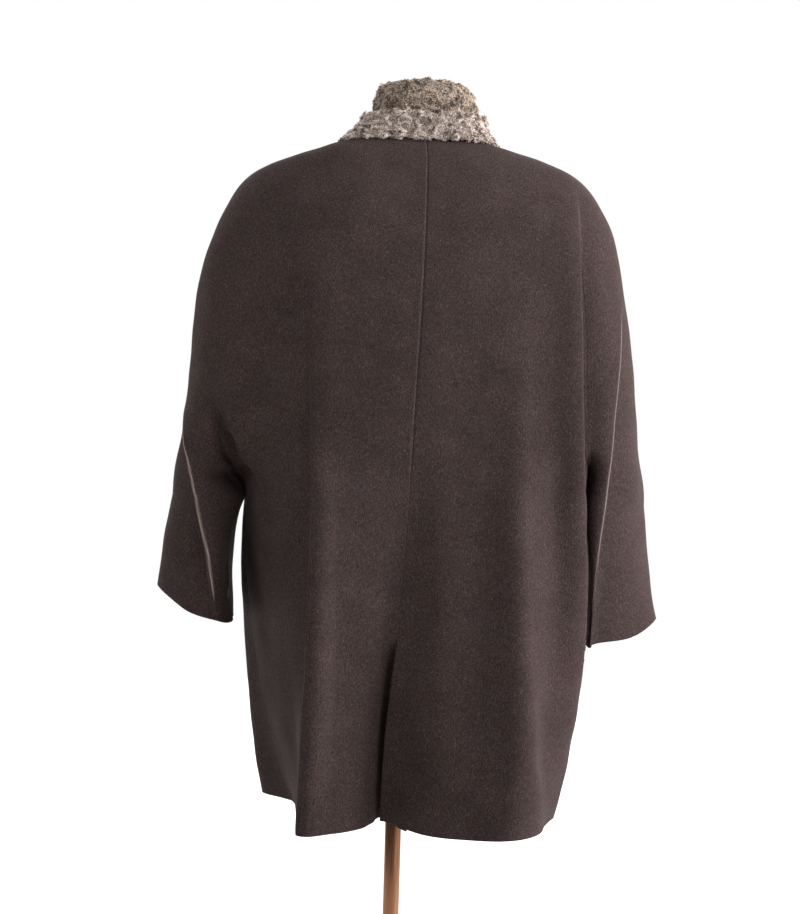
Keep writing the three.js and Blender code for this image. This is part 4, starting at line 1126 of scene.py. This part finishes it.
BUTTON_RIM = 2.4
button_profile = [(0, 0), (10.5, 0)] + arc(BUTTON_RADIUS - BUTTON_RIM, 2.2, BUTTON_RIM, -60, 100, 9)
button_profile += [
    (radius, BUTTON_THICK - down) for radius, down in ((10.4, 1.1), (9.2, 1.6), (5, 1.5), (0, 1.45))
]
front_ids = np.concatenate([yoke_ids[::-1, stretch_first[4]], body_ids[:, front_column]])
front_ids = front_ids[np.argsort(coat[front_ids][:, 2])]
front_line, front_out = coat[front_ids], normals[front_ids]
for number, level in enumerate(BUTTON_LEVELS, start=1):
    centre = np.array([np.interp(level, front_line[:, 2], front_line[:, k]) for k in range(3)])
    out = Vector([np.interp(level, front_line[:, 2], front_out[:, k]) for k in range(3)]).normalized()
    button = turned("button", button_profile, 48, horn)
    cutters = []
    for x, y in ((1, 1), (-1, 1), (-1, -1), (1, -1)):
        cutter = rod("hole", HOLE_RADIUS, -1, 8, 16, horn)
        cutter.data.transform(Matrix.Translation(Vector((x, y, 0)) * HOLE_OUT * MM))
        cutters.append(cutter)
    cutter = joined("holes", cutters)
    cut = button.modifiers.new("holes", "BOOLEAN")
    cut.object = cutter
    cut.solver = "EXACT"
    shown = button.evaluated_get(bpy.context.evaluated_depsgraph_get())
    cut_mesh = bpy.data.meshes.new_from_object(shown)
    button.modifiers.clear()
    button.data = cut_mesh
    bpy.data.objects.remove(cutter)
    strands = []
    for x, y in ((1, 1), (1, -1)):
        across_button = Matrix.Rotation(math.atan2(y, x), 4, "Z") @ Matrix.Rotation(math.pi / 2, 4, "Y")
        for offset in (-THREAD_PAIR, THREAD_PAIR):
            beside_line = Vector((offset, -offset * x * y, 0))
            for end in (-1, 1):
                strand = rod("strand", THREAD, 0, STRAND, 10, thread_cotton)
                spot = Vector((x, y, 0)) * end * HOLE_OUT + beside_line + Vector((0, 0, 0.2))
                strand.data.transform(Matrix.Translation(spot * MM))
                strands.append(strand)
            stitch = rod("strand", THREAD, 0, STITCH, 10, thread_cotton)
            start = Vector((-x, -y, 0)) * STITCH_OUT + beside_line + Vector((0, 0, STITCH_LEVEL))
            stitch.data.transform(Matrix.Translation(start * MM) @ across_button)
            strands.append(stitch)
    thread = joined(f"button_thread_{number}", strands)
    button.name = f"sewn_button_{number}"
    seat = Matrix.Translation((Vector(centre) + out * BUTTON_LIFT) * MM)
    seat = seat @ out.to_track_quat("Z", "X").to_matrix().to_4x4()
    for piece in (button, thread):
        piece.data.transform(seat)
        hung(piece)
        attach(piece, "root")
    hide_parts(f"button_{number}")


# Dress form: a limbless moulded body under a stretched jersey cover, seamed down its sides and
# centre. Only its underside and neck can be seen, inside the hem and the collar.
FORM_LEVELS = [
    # z, half width, back, front
    (690, 150, 108, 92), (704, 164, 118, 102), (800, 174, 122, 108), (890, 160, 106, 104),
    (985, 136, 88, 96), (1085, 148, 98, 108), (1180, 166, 110, 116), (1250, 176, 108, 108),
    (1310, 182, 94, 94), (1344, 174, 78, 78), (1361, 150, 66, 68), (1375, 112, 56, 60),
    (1385, 74, 49, 56), (1399, 56, 43, 48), (1438, 45, 36, 42),
]
JERSEY_LOOP = 1.6

jersey = new_material("stretched_cotton_jersey")
jersey_loops = grain(
    jersey, JERSEY_LOOP * 6.3, kind="TexWave", Distortion=1.0, Detail=2.0, its_bands_direction="Z",
)
jersey_tone = ramp(jersey, grain(jersey, 4, Detail=4.0), "Fac", [(0.3, "#a8987f"), (0.7, "#c9bca6")])
jersey_bump = node(jersey, "Bump", [(jersey_loops, "Fac", "Height")], Strength=0.3, Distance=0.0004)
surface(jersey, jersey_tone, (jersey_bump, "Normal", "Normal"), Roughness=0.9, Sheen_Weight=0.2)

last_level = len(FORM_LEVELS) - 1
form_rows = between_rows(FORM_LEVELS, np.linspace(0, last_level, 4 * last_level + 1))
form_rings = [ring_at(*row, 96) for row in form_rows]
form = ringed("form_cover", form_rings, FORM_LEVELS[0][0], FORM_LEVELS[-1][0], jersey)
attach(form, "root")
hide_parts("form_body")


# Stand: a thin-walled polished steel tube under a turned neck cap of the same finish, on a heavy
# spun-steel base with a fine satin powder coat. Tube and cap carry a painted brown reflection.
POLE_RADIUS = 11
BASE_RADIUS = 165
BASE_HEIGHT = 20
GAP = 0.3
BRUSH = 0.5

# painted reflection: the metal's brown tint stands in for a reflected brown floor
reflection_tinted_steel = grained(
    "steel_painted_brown_reflection", BRUSH, [(0.3, "#7f543a"), (0.7, "#a4765a")], 60,
    gloss=(0.2, 0.34), texture={"Detail": 2.0}, Metallic=0.9,
)
powder = grained(
    "satin_powder_coat", 1.4, [(0.3, "#2a2624"), (0.7, "#35302d")],
    relief=(0.25, 0.0003), texture={"Detail": 2.0}, Roughness=0.45,
)

pole_length = FORM_LEVELS[0][0] - BASE_HEIGHT - 2 * GAP
pole_profile = [(0, 0), (POLE_RADIUS - 0.6, 0), (POLE_RADIUS, 0.6), (POLE_RADIUS, pole_length - 0.6)]
pole_profile += [(POLE_RADIUS - 0.6, pole_length), (0, pole_length)]
base_profile = [(0, 0), (BASE_RADIUS - 3, 0)] + arc(BASE_RADIUS - 3, 3, 3, -80, 0, 5)
base_profile += arc(BASE_RADIUS - 6, 6, 6, 10, 85, 7)
base_profile += [(110, 14.5), (60, 17), (26, 19.4), (24, BASE_HEIGHT), (0, BASE_HEIGHT)]
cap_profile = [(0, 0), (34, 0)] + arc(33.5, 4, 3.5, -70, 60, 7)
cap_profile += [(33, 10.5), (26, 14.5), (12, 17.4), (0, 18)]
for name, profile, height, material, cad_node, slot in (
    ("pole_tube", pole_profile, BASE_HEIGHT + GAP, reflection_tinted_steel, "stand_pole", "pole_metal"),
    ("base_disc", base_profile, 0, powder, "stand_base", "base_paint"),
    ("neck_cap", cap_profile, FORM_LEVELS[-1][0] + GAP, reflection_tinted_steel, "form_neck_cap", "pole_metal"),
):
    piece = turned(name, profile, 96, material)
    piece.data.transform(Matrix.Translation(Vector((0, 0, height)) * MM))
    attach(piece, "root")
    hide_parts(cad_node)


# Studio: a pale floor and a white surround, a large soft key from the camera's upper right and a
# weaker fill from high on the left, so that the cloth is darker on its left side.
KEY_POWER = 130
FILL_POWER = 24
OVERHEAD_POWER = 170
BEHIND = 1.15             # the surround's strength behind the coat, to its right and above
CAMERA_SIDE = 0.06
FLOOR_WHITE_FROM = 1600   # near the stand the floor throws less light up at the coat
LEANING = (1.4, 1, -0.5)  # the way the surround grows darker: to the left, forwards and down

floor_paint = new_material("pale_matt_floor")
floor_place = node(floor_paint, "TexCoord")
floor_space = node(
    floor_paint, "Mapping", [(floor_place, "Object", "Vector")],
    Scale=(per_metre(FLOOR_WHITE_FROM), per_metre(FLOOR_WHITE_FROM), 1),
)
# painted shade: the floor is grey near the stand and white further off, so it throws less light up at the
# coat
floor_painted_shade = node(
    floor_paint, "TexGradient", [(floor_space, "Vector", "Vector")], its_gradient_type="SPHERICAL",
)
surface(
    floor_paint, ramp(floor_paint, floor_painted_shade, "Fac", [(0.02, "#ffffff"), (0.4, "#a0a0a0")]), Roughness=0.9,
)
FLOOR_HALF = 6000
floor_corners = [(x * FLOOR_HALF, y * FLOOR_HALF, 0) for x, y in ((-1, -1), (1, -1), (1, 1), (-1, 1))]
floor = add_mesh("floor", floor_corners, [(0, 1, 2, 3)], floor_paint, smooth_shading=False)

world = bpy.data.worlds.new("white_surround")
world.use_nodes = True
world.node_tree.nodes.clear()
world_way = node(world, "TexCoord")
world_lean = node(world, "VectorMath", [(world_way, "Generated", 0)], its_operation="DOT_PRODUCT", _1=LEANING)
world_light = node(
    world, "MapRange", [(world_lean, "Value", "Value")],
    From_Min=-0.3, From_Max=0.5, To_Min=BEHIND, To_Max=CAMERA_SIDE,
)
seen = node(world, "LightPath")
lit = node(world, "Background", [(world_light, "Result", "Strength")])
white = node(world, "Background", Strength=1.0)
lit.inputs["Color"].default_value = white.inputs["Color"].default_value = (1, 1, 1, 1)
either = node(
    world, "MixShader", [(seen, "Is Camera Ray", 0), (lit, "Background", 1), (white, "Background", 2)],
)
node(world, "OutputWorld", [(either, "Shader", "Surface")])
bpy.context.scene.world = world


def soft_light(name, place_mm, aim_mm, size_mm, power):
    light_data = bpy.data.lights.new(name, "AREA")
    light_data.energy = power
    light_data.size = size_mm * MM
    light = bpy.data.objects.new(name, light_data)
    start, aim = Vector(place_mm) * MM, Vector(aim_mm) * MM
    light.location = start
    light.rotation_euler = (aim - start).to_track_quat("-Z", "Y").to_euler()
    bpy.context.scene.collection.objects.link(light)


soft_light("key", (-2900, 650, 2300), (0, 0, 1000), 1100, KEY_POWER)
soft_light("fill", (1500, 900, 3200), (0, 0, 1200), 1600, FILL_POWER)
soft_light("overhead", (0, -4200, 3500), (0, -4200, 0), 6000, OVERHEAD_POWER)

view_settings = bpy.context.scene.view_settings
view_settings.view_transform = "Standard"
view_settings.look = "None"
